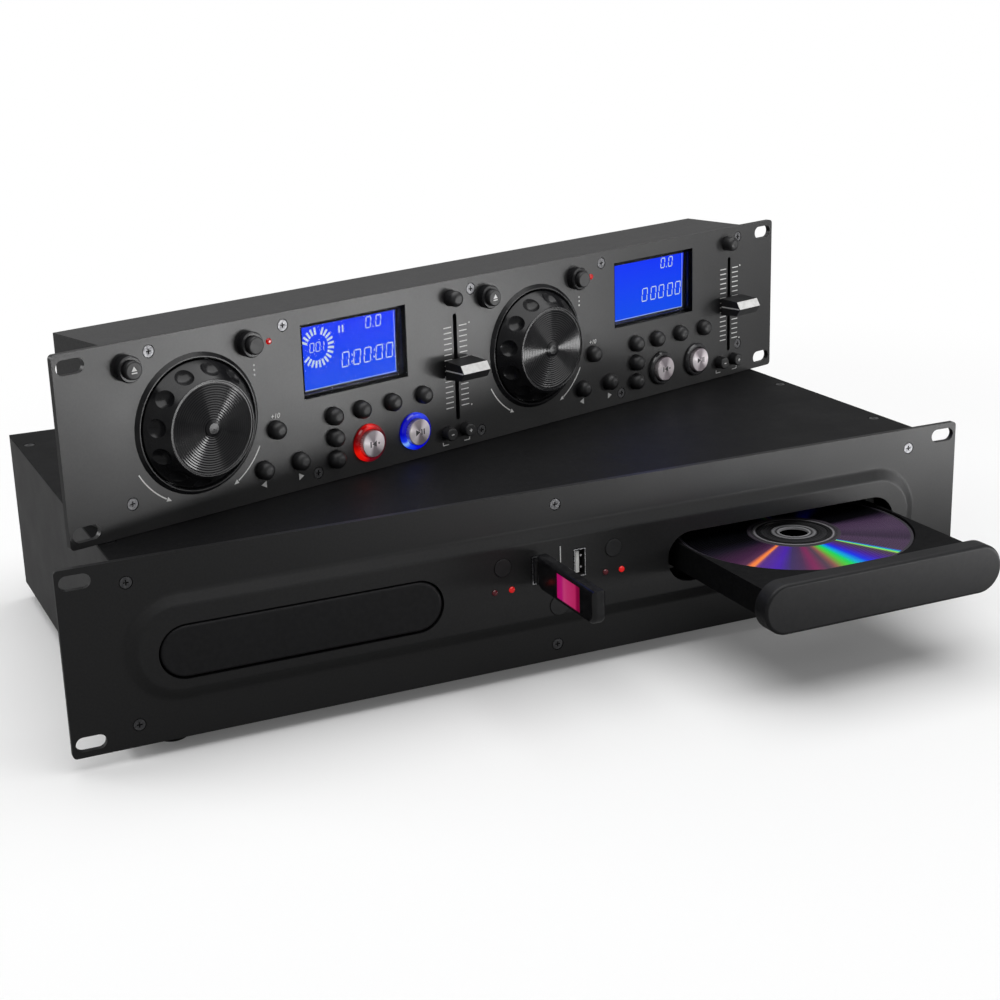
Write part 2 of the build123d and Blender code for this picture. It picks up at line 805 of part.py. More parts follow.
# ================================================================ transport: loaders
def loader(side):
    """Fixed mechanism under one drawer, its disc deck lowered as when the drawer is moving."""
    x = drawers[side]
    inner = tray_width / 2 + rest_gap
    wall_x = inner + loader_wall / 2
    rear_y = loader_front_y + loader_length
    middle_y = (loader_front_y + rear_y) / 2
    floor_top = loader_floor_z + loader_floor_thickness
    lip_low = tray_top_z + rest_gap
    runner_high = tray_bottom_z - rest_gap
    lip_x = inner - lip_reach / 2
    leg_x = inner - loader_leg_inset
    with BuildPart() as frame:
        with BuildSketch(Plane.XY.offset(loader_floor_z)):
            with Locations((x, middle_y)):
                Rectangle(2 * (inner + loader_wall), loader_length)
                Rectangle(loader_window_width, loader_window_length, mode=Mode.SUBTRACT)
        extrude(amount=loader_floor_thickness)
        with BuildSketch(Plane.XY.offset(loader_floor_z)):
            with Locations((x - wall_x, middle_y), (x + wall_x, middle_y)):
                Rectangle(loader_wall, loader_length)
        extrude(amount=loader_wall_top_z - loader_floor_z)
        with BuildSketch(Plane.XY.offset(runner_high - lip_thickness)):
            with Locations((x - lip_x, middle_y), (x + lip_x, middle_y)):
                Rectangle(lip_reach, loader_length)
        extrude(amount=lip_thickness)
        with BuildSketch(Plane.XY.offset(lip_low)):
            for y in (loader_front_y + lip_length / 2, rear_y - lip_length / 2):
                with Locations((x - lip_x, y), (x + lip_x, y)):
                    Rectangle(lip_reach, lip_length)
        extrude(amount=lip_thickness)
        with BuildSketch(Plane.XY.offset(case_bottom_z + sheet)):
            for y in (loader_front_y + loader_leg_inset, rear_y - loader_leg_inset):
                with Locations((x - leg_x, y), (x + leg_x, y)):
                    Circle(loader_leg_radius)
        extrude(amount=loader_floor_z - case_bottom_z - sheet)
    bridge = floor_block(
        x,
        disc_y,
        2 * (inner + loader_wall),
        bridge_width,
        loader_wall_top_z,
        loader_wall_top_z + bridge_thickness,
    )
    clamp_low = tray_top_z + clamp_lift
    clamp_high = loader_wall_top_z
    deck_top = loader_floor_z
    deck_low = deck_top - sled_plate_thickness
    with BuildPart() as clamp:
        with BuildSketch(Plane.XY.offset(clamp_low)):
            with Locations((x, disc_y)):
                Circle(clamp_radius)
        extrude(amount=clamp_high - clamp_low)
    deck_plate = floor_block(
        x,
        middle_y,
        loader_window_width + loader_leg_inset,
        loader_window_length + loader_leg_inset,
        deck_low,
        deck_top,
    )
    with BuildPart() as spindle:
        with BuildSketch(Plane.XY.offset(deck_top)):
            with Locations((x, disc_y)):
                Circle(spindle_motor_radius)
        extrude(amount=spindle_hub_top_z - deck_top - 3 * sheet)
        with BuildSketch(Plane.XY.offset(spindle_hub_top_z - 3 * sheet)):
            with Locations((x, disc_y)):
                Circle(spindle_hub_radius)
        extrude(amount=sheet)
        with BuildSketch(Plane.XY.offset(spindle_hub_top_z - 2 * sheet)):
            with Locations((x, disc_y)):
                Circle(disc_hole_radius - button_gap)
        extrude(amount=2 * sheet, taper=12)
    rod_y = disc_y + spindle_hub_radius + rest_gap
    rod_plane = Plane.XZ.offset(-rod_y)
    rod_z = deck_top + rod_radius
    with BuildPart() as rods:
        with BuildSketch(rod_plane):
            with Locations((x - rod_spacing / 2, rod_z), (x + rod_spacing / 2, rod_z)):
                Circle(rod_radius)
        extrude(amount=-min(rod_length, rear_y - rod_y - loader_leg_inset))
    pickup_y = rod_y + pickup_length / 2 + loader_wall
    with BuildPart() as pickup:
        with BuildSketch(Plane.XY.offset(rod_z + rod_radius)):
            with Locations((x, pickup_y)):
                Rectangle(rod_spacing + 3 * rod_radius, pickup_length)
        extrude(amount=pickup_height)
        with BuildSketch(Plane.XY.offset(rod_z + rod_radius + pickup_height)):
            with Locations((x, pickup_y)):
                Circle(lens_radius)
        extrude(amount=sheet)
    gear_x = x + inner - lip_reach - drive_gear_radius - loader_wall
    gear_y = loader_front_y + drive_gear_radius + loader_wall
    tooth = 2 * 3.1416 * drive_gear_radius / drive_gear_teeth / 2
    with BuildPart() as gear:
        with BuildSketch(Plane.XY.offset(floor_top)):
            with Locations((gear_x, gear_y)):
                Circle(drive_gear_radius - tooth)
                with PolarLocations(drive_gear_radius - tooth / 2, drive_gear_teeth):
                    Rectangle(2 * tooth, tooth)
        extrude(amount=drive_gear_thickness)
    motor_x = x - inner + lip_reach + drive_motor_radius + loader_wall
    motor = discs(
        Plane.XY, [(motor_x, gear_y)], drive_motor_radius, floor_top, floor_top + drive_motor_length
    )
    return [
        frame.part,
        bridge,
        clamp.part,
        deck_plate,
        spindle.part,
        rods.part,
        pickup.part,
        gear.part,
        motor,
    ]


group("loader_decks", *loader("left"), *loader("right"))

# ================================================================ transport: boards
front_board_face = transport_face.offset(-front_board_y)
front_board = block(
    front_board_face, 0, 0, front_board_width, front_board_height, -board_thickness, 0
)
front_switches = tact_switches(
    transport_face, source_points + [(0, power_button_z)], -front_board_y
)


def base_board(y, length):
    """Board lying low in the case, with the four posts that hold it off the floor."""
    middle = y + length / 2
    board = floor_block(
        0, middle, base_board_width, length, base_board_z, base_board_z + board_thickness
    )
    post_x = base_board_width / 2 - board_post_inset
    post_y = length / 2 - board_post_inset
    points = [(i * post_x, middle + j * post_y) for i in (-1, 1) for j in (-1, 1)]
    posts = discs(Plane.XY, points, board_post_radius, case_bottom_z + sheet, base_board_z)
    return board, posts


board_top = base_board_z + board_thickness
supply_middle = supply_board_y + supply_board_length / 2
main_middle = main_board_y + main_board_length / 2
core = floor_block(
    transformer_x,
    supply_middle,
    transformer_width,
    transformer_length,
    board_top,
    board_top + transformer_height,
)
bobbins = [
    floor_block(
        transformer_x,
        supply_middle + end * (transformer_length + bobbin_overhang) / 2,
        transformer_width * 0.7,
        bobbin_overhang,
        board_top + bobbin_overhang,
        board_top + transformer_height - bobbin_overhang,
    )
    for end in (-1, 1)
]
capacitors = discs(
    Plane.XY,
    [(capacitor_x, supply_middle + step * capacitor_pitch) for step in (-1, 0, 1)],
    capacitor_radius,
    board_top,
    board_top + capacitor_height,
)
with BuildPart() as chips:
    with BuildSketch(Plane.XY.offset(board_top)):
        with Locations(
            (-chip_spacing / 2, main_middle),
            (chip_spacing / 2, main_middle),
            (0, main_middle - chip_step_y),
        ):
            Rectangle(chip_size, chip_size)
    extrude(amount=chip_height)
group(
    "circuit_boards",
    front_board,
    front_switches,
    *base_board(supply_board_y, supply_board_length),
    *base_board(main_board_y, main_board_length),
    core,
    *bobbins,
    capacitors,
    chips.part,
)


# ================================================================ transport: sockets
def usb_socket(x):
    """Upright USB-A socket: folded steel shell with its contact tongue."""
    front = plateau_rise + usb_shell_proud
    inner_width = usb_shell_width - 2 * usb_shell_wall
    inner_height = usb_shell_height - 2 * usb_shell_wall
    back = usb_shell_wall - front_board_y
    with BuildPart() as socket:
        with BuildSketch(front_board_face):
            with Locations((x, usb_z)):
                Rectangle(usb_shell_width, usb_shell_height)
        extrude(amount=front + front_board_y)
        with BuildSketch(transport_face.offset(back)):
            with Locations((x, usb_z)):
                Rectangle(inner_width, inner_height)
        extrude(amount=front - back, mode=Mode.SUBTRACT)
        with BuildSketch(transport_face.offset(back)):
            with Locations((x + usb_tongue_offset, usb_z)):
                Rectangle(usb_tongue_width, usb_tongue_height)
        extrude(amount=front - back - usb_tongue_setback)
    return socket.part


with BuildPart() as mains_inlet:
    with BuildSketch(transport_rear):
        with Locations(rear_point(inlet_x, inlet_z)):
            Rectangle(inlet_length + 2 * inlet_flange, inlet_height + 2 * inlet_flange)
    extrude(amount=sheet)
    with BuildSketch(transport_rear):
        with Locations(rear_point(inlet_x, inlet_z)):
            Rectangle(inlet_length, inlet_height)
    extrude(amount=-inlet_depth)
    with BuildSketch(transport_rear.offset(sheet)):
        with Locations(rear_point(inlet_x, inlet_z)):
            Rectangle(inlet_cavity_length, inlet_cavity_height)
    extrude(amount=-inlet_cavity_depth, mode=Mode.SUBTRACT)
    with BuildSketch(transport_rear.offset(sheet - inlet_cavity_depth)):
        with Locations(
            rear_point(inlet_x - inlet_pin_step, inlet_z - inlet_pin_step / 4),
            rear_point(inlet_x + inlet_pin_step, inlet_z - inlet_pin_step / 4),
            rear_point(inlet_x, inlet_z + inlet_pin_step / 4),
        ):
            Rectangle(inlet_pin_radius, 2 * inlet_pin_radius)
    extrude(amount=inlet_cavity_depth - 2 * inlet_flange)

phonos = []
for x, z in phono_positions:
    px, pz = rear_point(x, z)
    phonos.append(
        turned(
            transport_rear,
            px,
            pz,
            [
                (0, -phono_proud),
                (phono_radius, -phono_proud),
                (phono_radius, phono_proud),
                (phono_radius - sheet / 2, phono_proud),
                (phono_radius - sheet / 2, sheet),
                (phono_pin_radius, sheet),
                (phono_pin_radius, -sheet),
                (0, -sheet),
            ],
        )
    )
dins = []
for x, z in din_positions:
    px, pz = rear_point(x, z)
    dins.append(din_socket(transport_rear, px, pz))
group(
    "connector_sockets", usb_socket(-usb_x), usb_socket(usb_x), mains_inlet.part, *phonos, *dins
)

# ================================================================ transport: lamps, feet, screws
plateau_face = transport_face.offset(plateau_rise)
lamp_back = -front_board_y - plateau_rise
group("transport_lights", *[led(plateau_face, x, z, lamp_back) for x, z in led_points])

foot_pieces = [
    turned(
        Plane.XY.offset(case_bottom_z),
        x,
        y,
        [
            (screw_hole_radius, 0),
            (foot_radius, 0),
            (foot_radius, -foot_height / 2),
            (foot_radius - foot_taper, -foot_height),
            (screw_head_radius + seam_gap, -foot_height),
            (screw_head_radius + seam_gap, -foot_height / 2),
            (screw_hole_radius, -foot_height / 2),
        ],
    )
    for x, y in foot_points
]
group("feet", *foot_pieces)

group(
    "transport_screws",
    screws(transport_face, transport_screw_points, -counterbore_depth),
    screws(Plane.XY, cover_screw_points, case_top_z - sheet / 2, flat_head_height),
    screws(
        Plane.XY.rotated((180, 0, 0)),
        [(x, -y) for x, y in foot_points],
        -case_bottom_z + foot_height / 2,
    ),
)

# ================================================================ transport: buttons and stick
front_stem_end = stem_end_above(-front_board_y)
for side, (x, z) in zip(("left", "right"), source_points):
    style = (source_button_radius, flush_button_height, flush_button_height / 2)
    save(
        push_button(transport_face, x, z, style, plateau_rise, 0.0, front_stem_end),
        f"source_button_{side}",
    )
power_style = (power_button_radius, flush_button_height, flush_button_height / 2)
save(
    push_button(
        transport_face,
        0,
        power_button_z,
        power_style,
        plateau_rise,
        0.0,
        front_stem_end + power_travel - press_travel,
    ),
    "power_button",
)

stick_plane = transport_face.offset(plateau_rise + stick_start)
stick_x, stick_z = usb_points[0]
stick_tip = plateau_rise + stick_start + stick_length
stick_side = Plane(
    origin=(stick_x - stick_thickness / 2, 0, stick_z + stick_lift),
    x_dir=(0, -1, 0),
    z_dir=(-1, 0, 0),
)
stick_back = stick_tip - stick_length
window_middle = plateau_rise + stick_window_start + stick_window_length / 2
with BuildPart() as stick_body:
    with BuildSketch(stick_side) as profile:
        with Locations(((stick_tip + stick_back) / 2, 0)):
            Rectangle(stick_length, stick_height)
        tip_corners = profile.vertices().group_by(Axis.Y)[0]
        fillet(tip_corners, stick_tip_radius)
    extrude(amount=-stick_thickness)
    broad_faces = stick_body.faces().filter_by(Axis.X)
    broad_edges = [edge for face in broad_faces for edge in face.edges()]
    back_y = -stick_back
    rounded = [edge for edge in broad_edges if edge.center().Y < back_y - seam_gap]
    fillet(rounded, stick_edge)
    with BuildSketch(stick_side):
        with Locations((window_middle, 0)):
            Rectangle(stick_window_length, stick_height - 2 * stick_edge)
    extrude(amount=-stick_window_recess, mode=Mode.SUBTRACT)
with BuildPart() as stick_plug:
    with BuildSketch(stick_plane):
        with Locations((stick_x, stick_z)):
            Rectangle(plug_width, plug_height)
            Rectangle(plug_width - 2 * plug_wall, plug_height - 2 * plug_wall, mode=Mode.SUBTRACT)
    extrude(amount=-plug_length)
group("usb_stick", stick_body.part, stick_plug.part)

# ================================================================ controller: front panel
button_at = {
    f"{name}_{side}": (deck_x + x, z)
    for side, deck_x in decks.items()
    for name, (x, z) in deck_buttons.items()
}


def on_decks(points):
    """The same points on both decks of the controller."""
    return [(deck_x + x, z) for deck_x in decks.values() for x, z in points]


lit_points = on_decks([deck_buttons["cue"], deck_buttons["play"]])
collar_points = on_decks([deck_buttons["eject"], deck_buttons["jog_mode"]])
jog_points = on_decks([(jog_x, jog_z)])
display_points = on_decks([(display_x, display_z)])
fader_points = on_decks([(fader_x, fader_z)])
deck_led_points = on_decks([(deck_led_x, deck_led_z)])
post_points = on_decks(board_posts_on_deck)
flange_screw_points = [(x, level * tab_screw_z) for x, level in flange_screws_at]
side_screw_points = [
    (side * (controller_case_width / 2 - inset), z) for side, inset, z in side_screws_at
]
controller_screw_points = flange_screw_points + side_screw_points
collar_radius = button_styles["collared"][0] + button_gap + collar_wall

with BuildPart() as controller_front_panel:
    with BuildSketch(controller_face):
        RectangleRounded(rack_width, unit_height, panel_corner_radius)
        with GridLocations(slot_spacing_x, slot_spacing_z, 2, 2):
            SlotOverall(slot_length, slot_width, mode=Mode.SUBTRACT)
        with Locations(*jog_points):
            Circle(jog_well_radius + jog_well_wall + seam_gap, mode=Mode.SUBTRACT)
        with Locations(*display_points):
            Rectangle(display_length, display_height, mode=Mode.SUBTRACT)
        with Locations(*fader_points):
            SlotOverall(fader_slot_length, fader_slot_width, rotation=90, mode=Mode.SUBTRACT)
        with Locations(*lit_points):
            Circle(halo_radius + seam_gap, mode=Mode.SUBTRACT)
        with Locations(*collar_points):
            Circle(collar_radius + seam_gap, mode=Mode.SUBTRACT)
        with Locations(*deck_led_points):
            Circle(led_radius + seam_gap, mode=Mode.SUBTRACT)
        with Locations(*controller_screw_points):
            Circle(screw_hole_radius, mode=Mode.SUBTRACT)
        for name, point in button_at.items():
            style = style_of[name.rpartition("_")[0]]
            if style in ("dome", "tall", "small"):
                with Locations(point):
                    Circle(button_styles[style][0] + button_gap, mode=Mode.SUBTRACT)
    extrude(amount=-panel_thickness)
    with BuildSketch(controller_face):
        with Locations(*controller_screw_points):
            Circle(counterbore_radius)
    extrude(amount=-counterbore_depth, mode=Mode.SUBTRACT)
    with BuildSketch(controller_face.offset(-panel_thickness)):
        with Locations(*post_points):
            Circle(board_post_radius)
    extrude(amount=panel_thickness - control_board_depth)
save(controller_front_panel.part, "controller_front_panel")

# ================================================================ controller: case
panel_back = controller_face.offset(-panel_thickness)
controller_rear_face = Plane(
    origin=controller_face.from_local_coords((0, 0, -panel_thickness - controller_case_depth)),
    x_dir=-controller_face.x_dir,
    z_dir=-controller_face.z_dir,
)
with BuildPart() as controller_case:
    with BuildSketch(panel_back):
        Rectangle(controller_case_width, 2 * controller_case_top)
    extrude(amount=-controller_case_depth)
    with BuildSketch(panel_back):
        Rectangle(controller_case_width - 2 * sheet, 2 * (controller_case_top - sheet))
    extrude(amount=sheet - controller_case_depth, mode=Mode.SUBTRACT)
    with BuildSketch(panel_back) as tabs:
        with Locations(*[(x, level * (tab_screw_z + tab_step)) for x, level in flange_screws_at]):
            Rectangle(tab_width, tab_length)
        with Locations(*[(x, z) for x, z in side_screw_points]):
            Rectangle(side_tab_length, tab_width)
        Rectangle(
            controller_case_width - sheet, 2 * controller_case_top - sheet, mode=Mode.INTERSECT
        )
        with Locations(*controller_screw_points):
            Circle(screw_hole_radius, mode=Mode.SUBTRACT)
    extrude(amount=-sheet)
    with BuildSketch(controller_rear_face):
        with Locations(*[(-x, z) for x, z in controller_din_positions]):
            Circle(din_radius + seam_gap)
    extrude(amount=-sheet, mode=Mode.SUBTRACT)
save(controller_case.part, "controller_case")

# ================================================================ controller: board
board_front = -control_board_depth
control_board = block(
    controller_face,
    0,
    0,
    control_board_width,
    control_board_height,
    -control_board_back,
    board_front,
)
control_switches = tact_switches(controller_face, list(button_at.values()), board_front)
well_bottom = -jog_well_depth - jog_well_floor
encoder_top = well_bottom
encoders = [
    turned(
        controller_face,
        x,
        z,
        [
            (0, board_front),
            (encoder_radius, board_front),
            (encoder_radius, encoder_top),
            (jog_shaft_radius + running_gap, encoder_top),
            (jog_shaft_radius + running_gap, board_front + running_gap * 4),
            (0, board_front + running_gap * 4),
        ],
    )
    for x, z in jog_points
]
with BuildPart() as fader_tracks:
    with BuildSketch(controller_face.offset(board_front)):
        with Locations(*fader_points):
            Rectangle(track_width, track_length)
    extrude(amount=track_height)
    with BuildSketch(controller_face.offset(board_front + track_height)):
        with Locations(*fader_points):
            Rectangle(blade_width + 2 * rest_gap, channel_length)
    extrude(amount=-channel_depth, mode=Mode.SUBTRACT)
control_dins = [din_socket(controller_rear_face, -x, z) for x, z in controller_din_positions]
group(
    "controller_board",
    control_board,
    control_switches,
    *encoders,
    fader_tracks.part,
    *control_dins,
)

# ================================================================ controller: displays
with BuildPart() as panes:
    with BuildSketch(controller_face.offset(-inlay_depth)):
        with Locations(*display_points):
            Rectangle(display_length - 2 * seam_gap, display_height - 2 * seam_gap)
    extrude(amount=inlay_depth - panel_thickness)
    with BuildSketch(panel_back):
        with Locations(*display_points):
            Rectangle(display_length + 2 * display_flange, display_height + 2 * display_flange)
    extrude(amount=-display_pane_flange_thickness)
    with BuildSketch(controller_face.offset(-panel_thickness - display_pane_flange_thickness)):
        with Locations(*display_points):
            Rectangle(
                display_length - 2 * display_flange, display_height - 2 * display_flange
            )
    extrude(
        amount=panel_thickness + display_pane_flange_thickness - 2 * inlay_depth - sheet,
        mode=Mode.SUBTRACT,
    )
group("display_windows", panes.part)

module_front = -panel_thickness - display_pane_flange_thickness
module_back = module_front - module_height
leg_points = [
    (x + i * screen_length / 2, z + j * screen_height / 2)
    for x, z in display_points
    for i in (-1, 1)
    for j in (-1, 1)
]
with BuildPart() as modules:
    with BuildSketch(controller_face.offset(module_front)):
        with Locations(*display_points):
            Rectangle(display_length + 2 * display_flange, display_height + 2 * display_flange)
    extrude(amount=-module_height)
    with BuildSketch(controller_face.offset(module_front)):
        with Locations(*display_points):
            Rectangle(screen_length, screen_height)
    extrude(amount=-screen_recess - screen_thickness, mode=Mode.SUBTRACT)
    with BuildSketch(controller_face.offset(module_back)):
        with Locations(*leg_points):
            Circle(module_leg_radius)
    extrude(amount=board_front - module_back)
with BuildPart() as screens:
    with BuildSketch(controller_face.offset(module_front - screen_recess)):
        with Locations(*display_points):
            Rectangle(screen_length, screen_height)
    extrude(amount=-screen_thickness)
group("display_modules", modules.part, screens.part)

# ================================================================ controller: trim rings
well_outer = jog_well_radius + jog_well_wall
jog_rings = [
    turned(
        controller_face,
        x,
        z,
        [
            (jog_ring_radius, 0),
            (jog_ring_lip_radius + 0.5, jog_ring_height),
            (jog_ring_lip_radius, jog_ring_height),
            (jog_well_radius, jog_ring_height / 2),
            (jog_well_radius, -jog_well_depth),
            (jog_shaft_radius + jog_hub_bore_gap, -jog_well_depth),
            (jog_shaft_radius + jog_hub_bore_gap, well_bottom),
            (well_outer, well_bottom),
            (well_outer, 0),
        ],
    )
    for x, z in jog_points
]
collar_inner = collar_radius - collar_wall
collars = [
    turned(
        controller_face,
        x,
        z,
        [
            (collar_inner, -panel_thickness),
            (collar_radius, -panel_thickness),
            (collar_radius, 0),
            (collar_radius + collar_flange, 0),
            (collar_radius + collar_flange, collar_height - collar_lip),
            (collar_radius, collar_height),
            (collar_inner, collar_height),
        ],
    )
    for x, z in collar_points
]
group("panel_trim_rings", *jog_rings, *collars)

# ================================================================ controller: lamps and screws
halos = [
    turned(
        controller_face,
        x,
        z,
        [
            (halo_inner_radius, -panel_thickness - flange_thickness),
            (halo_radius + halo_flange, -panel_thickness - flange_thickness),
            (halo_radius + halo_flange, -panel_thickness),
            (halo_radius, -panel_thickness),
            (halo_radius, halo_height * 0.55),
            (halo_radius - 0.5, halo_height * 0.9),
            (halo_radius - 1.1, halo_height),
            (halo_inner_radius + 0.5, halo_height),
            (halo_inner_radius, halo_height * 0.85),
        ],
    )
    for x, z in lit_points
]
deck_leds = [led(controller_face, x, z, board_front) for x, z in deck_led_points]
group("controller_lights", *halos, *deck_leds)
group("controller_screws", screws(controller_face, controller_screw_points, -counterbore_depth))

# ================================================================ controller: buttons
control_stem_end = stem_end_above(board_front)
for name, (x, z) in button_at.items():
    style = style_of[name.rpartition("_")[0]]
    back = -panel_thickness - (flange_thickness if style == "lit" else 0.0)
    save(
        push_button(controller_face, x, z, button_styles[style], 0.0, back, control_stem_end),
        name,
    )


# ================================================================ controller: jog wheels
def jog_wheel(x, z):
    """Jog wheel: grooved disc on a glossy cone with finger dimples, hollow underneath."""
    rim_top = jog_height
    inner_step = jog_wall * 1.25
    shaft_end = board_front + running_gap * 4 + rest_gap
    ceiling = jog_height - jog_disc_recess - jog_wall
    outline = [
        (0, shaft_end),
        (jog_shaft_radius, shaft_end),
        (jog_shaft_radius, ceiling),
        (jog_disc_radius - inner_step, ceiling),
        (jog_radius - inner_step, jog_shoulder_height - jog_wall),
        (jog_radius - jog_wall, -jog_skirt_depth),
        (jog_radius, -jog_skirt_depth),
        (jog_radius, jog_shoulder_height),
        (jog_disc_radius, jog_height - jog_rim_width / 2),
        (jog_disc_radius - jog_rim_width / 2, rim_top),
        (jog_disc_radius - jog_rim_width, rim_top),
        (jog_disc_radius - jog_rim_width * 1.3, rim_top - jog_disc_recess),
        (jog_cap_radius, rim_top - jog_disc_recess),
        (jog_cap_radius * 0.95, rim_top - jog_disc_recess + jog_cap_height * 0.5),
        (jog_cap_radius * 0.6, rim_top - jog_disc_recess + jog_cap_height * 0.9),
        (0, rim_top - jog_disc_recess + jog_cap_height),
    ]
    wheel = turned(controller_face, x, z, outline)
    slope = Vector(jog_disc_radius - jog_radius, jog_height - jog_shoulder_height).normalized()
    middle_radius = (jog_radius + jog_disc_radius) / 2
    middle_height = (jog_height + jog_shoulder_height) / 2
    lift = dimple_sphere_radius - dimple_depth
    ball_radius = middle_radius + lift * slope.Y
    ball_height = middle_height - lift * slope.X
    ball_plane = Plane(
        origin=controller_face.from_local_coords((x, z, ball_height)),
        x_dir=controller_face.x_dir,
        z_dir=controller_face.z_dir,
    )
    with BuildPart() as dimpled:
        add(wheel)
        with Locations(ball_plane):
            with PolarLocations(ball_radius, dimple_count, start_angle=dimple_turn):
                Sphere(dimple_sphere_radius, mode=Mode.SUBTRACT)
    return dimpled.part


for side, (x, z) in zip(decks, jog_points):
    save(jog_wheel(x, z), f"jog_wheel_{side}")


# ================================================================ controller: pitch faders
def pitch_fader(x, z):
    """Pitch fader: wedge cap on a steel blade that runs in the track behind the panel."""
    blade_end = board_front + track_height - channel_depth + rest_gap
    side_plane = Plane(
        origin=controller_face.from_local_coords((x - cap_width / 2, z, 0)),
        x_dir=controller_face.y_dir,
        z_dir=controller_face.x_dir,
    )
    with BuildPart() as fader:
        with BuildSketch(side_plane):
            with BuildLine():
                Polyline(
                    (-cap_back_height / 2, blade_standoff),
                    (cap_back_height / 2, blade_standoff),
                    (cap_front_height / 2, blade_standoff + cap_shoulder),
                    (0, blade_standoff + cap_length),
                    (-cap_front_height / 2, blade_standoff + cap_shoulder),
                    close=True,
                )
            make_face()
        extrude(amount=cap_width)
        with BuildSketch(controller_face.offset(blade_end)):
            with Locations((x, z)):
                Rectangle(blade_width, blade_height)
        extrude(amount=blade_standoff - blade_end)
    return fader.part


for side, (x, z) in zip(decks, fader_points):
    save(pitch_fader(x, z), f"pitch_fader_{side}")
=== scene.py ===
# %% [markdown]
# # A twin disc player, dressed
#
# The object is two rack units: a transport with two disc drawers, and a control unit standing
# turned on its lid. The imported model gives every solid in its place. This lesson gives each of
# them its finish, adds what is printed, lit or finely cut, and sets up a small photo studio. It
# could all be modelled here a second time, but then the picture and the solids would drift apart.

from math import atan2, copysign, cos, degrees, hypot, pi, radians, sin

import bpy
from mathutils import Matrix, Vector


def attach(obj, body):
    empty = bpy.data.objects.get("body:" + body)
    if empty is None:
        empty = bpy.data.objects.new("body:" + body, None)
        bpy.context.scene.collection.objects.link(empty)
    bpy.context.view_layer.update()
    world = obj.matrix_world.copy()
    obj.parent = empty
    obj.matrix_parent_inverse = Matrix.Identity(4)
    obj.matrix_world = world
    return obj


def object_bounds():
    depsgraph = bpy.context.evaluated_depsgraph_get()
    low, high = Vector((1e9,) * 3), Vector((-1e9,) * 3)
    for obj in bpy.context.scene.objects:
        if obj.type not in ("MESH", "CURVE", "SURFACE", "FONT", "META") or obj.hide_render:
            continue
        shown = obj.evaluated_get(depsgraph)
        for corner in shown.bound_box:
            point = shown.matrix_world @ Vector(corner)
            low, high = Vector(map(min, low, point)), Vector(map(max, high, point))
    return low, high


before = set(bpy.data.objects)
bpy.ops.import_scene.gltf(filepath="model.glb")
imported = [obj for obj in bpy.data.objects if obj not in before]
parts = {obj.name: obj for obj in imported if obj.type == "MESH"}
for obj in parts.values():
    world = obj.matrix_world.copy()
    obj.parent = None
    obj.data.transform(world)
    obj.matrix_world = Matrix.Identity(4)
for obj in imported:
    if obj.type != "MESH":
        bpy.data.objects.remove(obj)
solids_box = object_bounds()
bpy.ops.object.select_all(action="DESELECT")
print(len(parts), "solids loaded, from", solids_box[0][:], "to", solids_box[1][:])

# %% [markdown]
# The transport's panel faces the front. The control unit's panel is turned 17.3 degrees and stands
# further back. Each gets a matrix that takes a point drawn flat on the panel, with x to the right,
# y up and z out of it, to its place on the object. Drawing flat and placing at the end is simpler
# than turning every mark by itself.

# %% The two panel faces
MM = 0.001
YAW = radians(17.3)
CONTROL_CENTRE = Vector((2.0, 95.3, 88.75)) * MM
DECK = 107.5  # from the control panel's middle to a deck's, in millimetres
DRAWER = 130.5  # from the transport's middle to a drawer's


def face_matrix(centre, yaw):
    """Matrix of an upright face: x along it, y up, z out of it."""
    across = Vector((cos(yaw), sin(yaw), 0))
    out = Vector((sin(yaw), -cos(yaw), 0))
    turn = Matrix((across, Vector((0, 0, 1)), out)).transposed()
    return Matrix.Translation(centre) @ turn.to_4x4()


transport_face = face_matrix(Vector((0, 0, 0)), 0)
control_face = face_matrix(CONTROL_CENTRE, YAW)
decks = {"left": -DECK, "right": DECK}
print("control unit's centre", CONTROL_CENTRE[:], "turned", degrees(YAW))

# %% [markdown]
# ## Camera
# The photograph looks down on the player from the front left, with a fairly long lens. The place,
# direction and focal length were worked out from the corners of both rack panels. A camera could
# be aimed with a constraint, but three axes written down are exact and easy to read.

# %% The camera
CAMERA_PLACE = (-0.3640, -0.7343, 0.2963)
LENS = 63.83
VIEW = Vector((0.39585, 0.86819, -0.29924)).normalized()
SKY = Vector((0.15157, 0.25962, 0.95374))
RIGHT = VIEW.cross(SKY).normalized()
UP = RIGHT.cross(VIEW)
bpy.ops.object.camera_add(location=CAMERA_PLACE)
camera = bpy.context.object
camera.rotation_euler = Matrix((RIGHT, UP, -VIEW)).transposed().to_euler()
camera.data.sensor_width = 36.0
camera.data.lens = LENS
camera.data.clip_start = 0.01
camera.data.clip_end = 50.0
bpy.context.scene.camera = camera
print("camera at", camera.location[:], "lens", camera.data.lens)

# %% [markdown]
# ## Studio
# The player stands on white paper that runs on without an edge. Paper this bright would shine back
# into the black panels, so to the camera it is white and to everything else a light grey. Away from
# the player it glows a little more with each centimetre, until it is as white as the room behind.
# Near the player it is lit by the lamps alone, which keeps the soft shadow. A curved backdrop would
# do the same in a real studio, but it would need far more light to turn white.

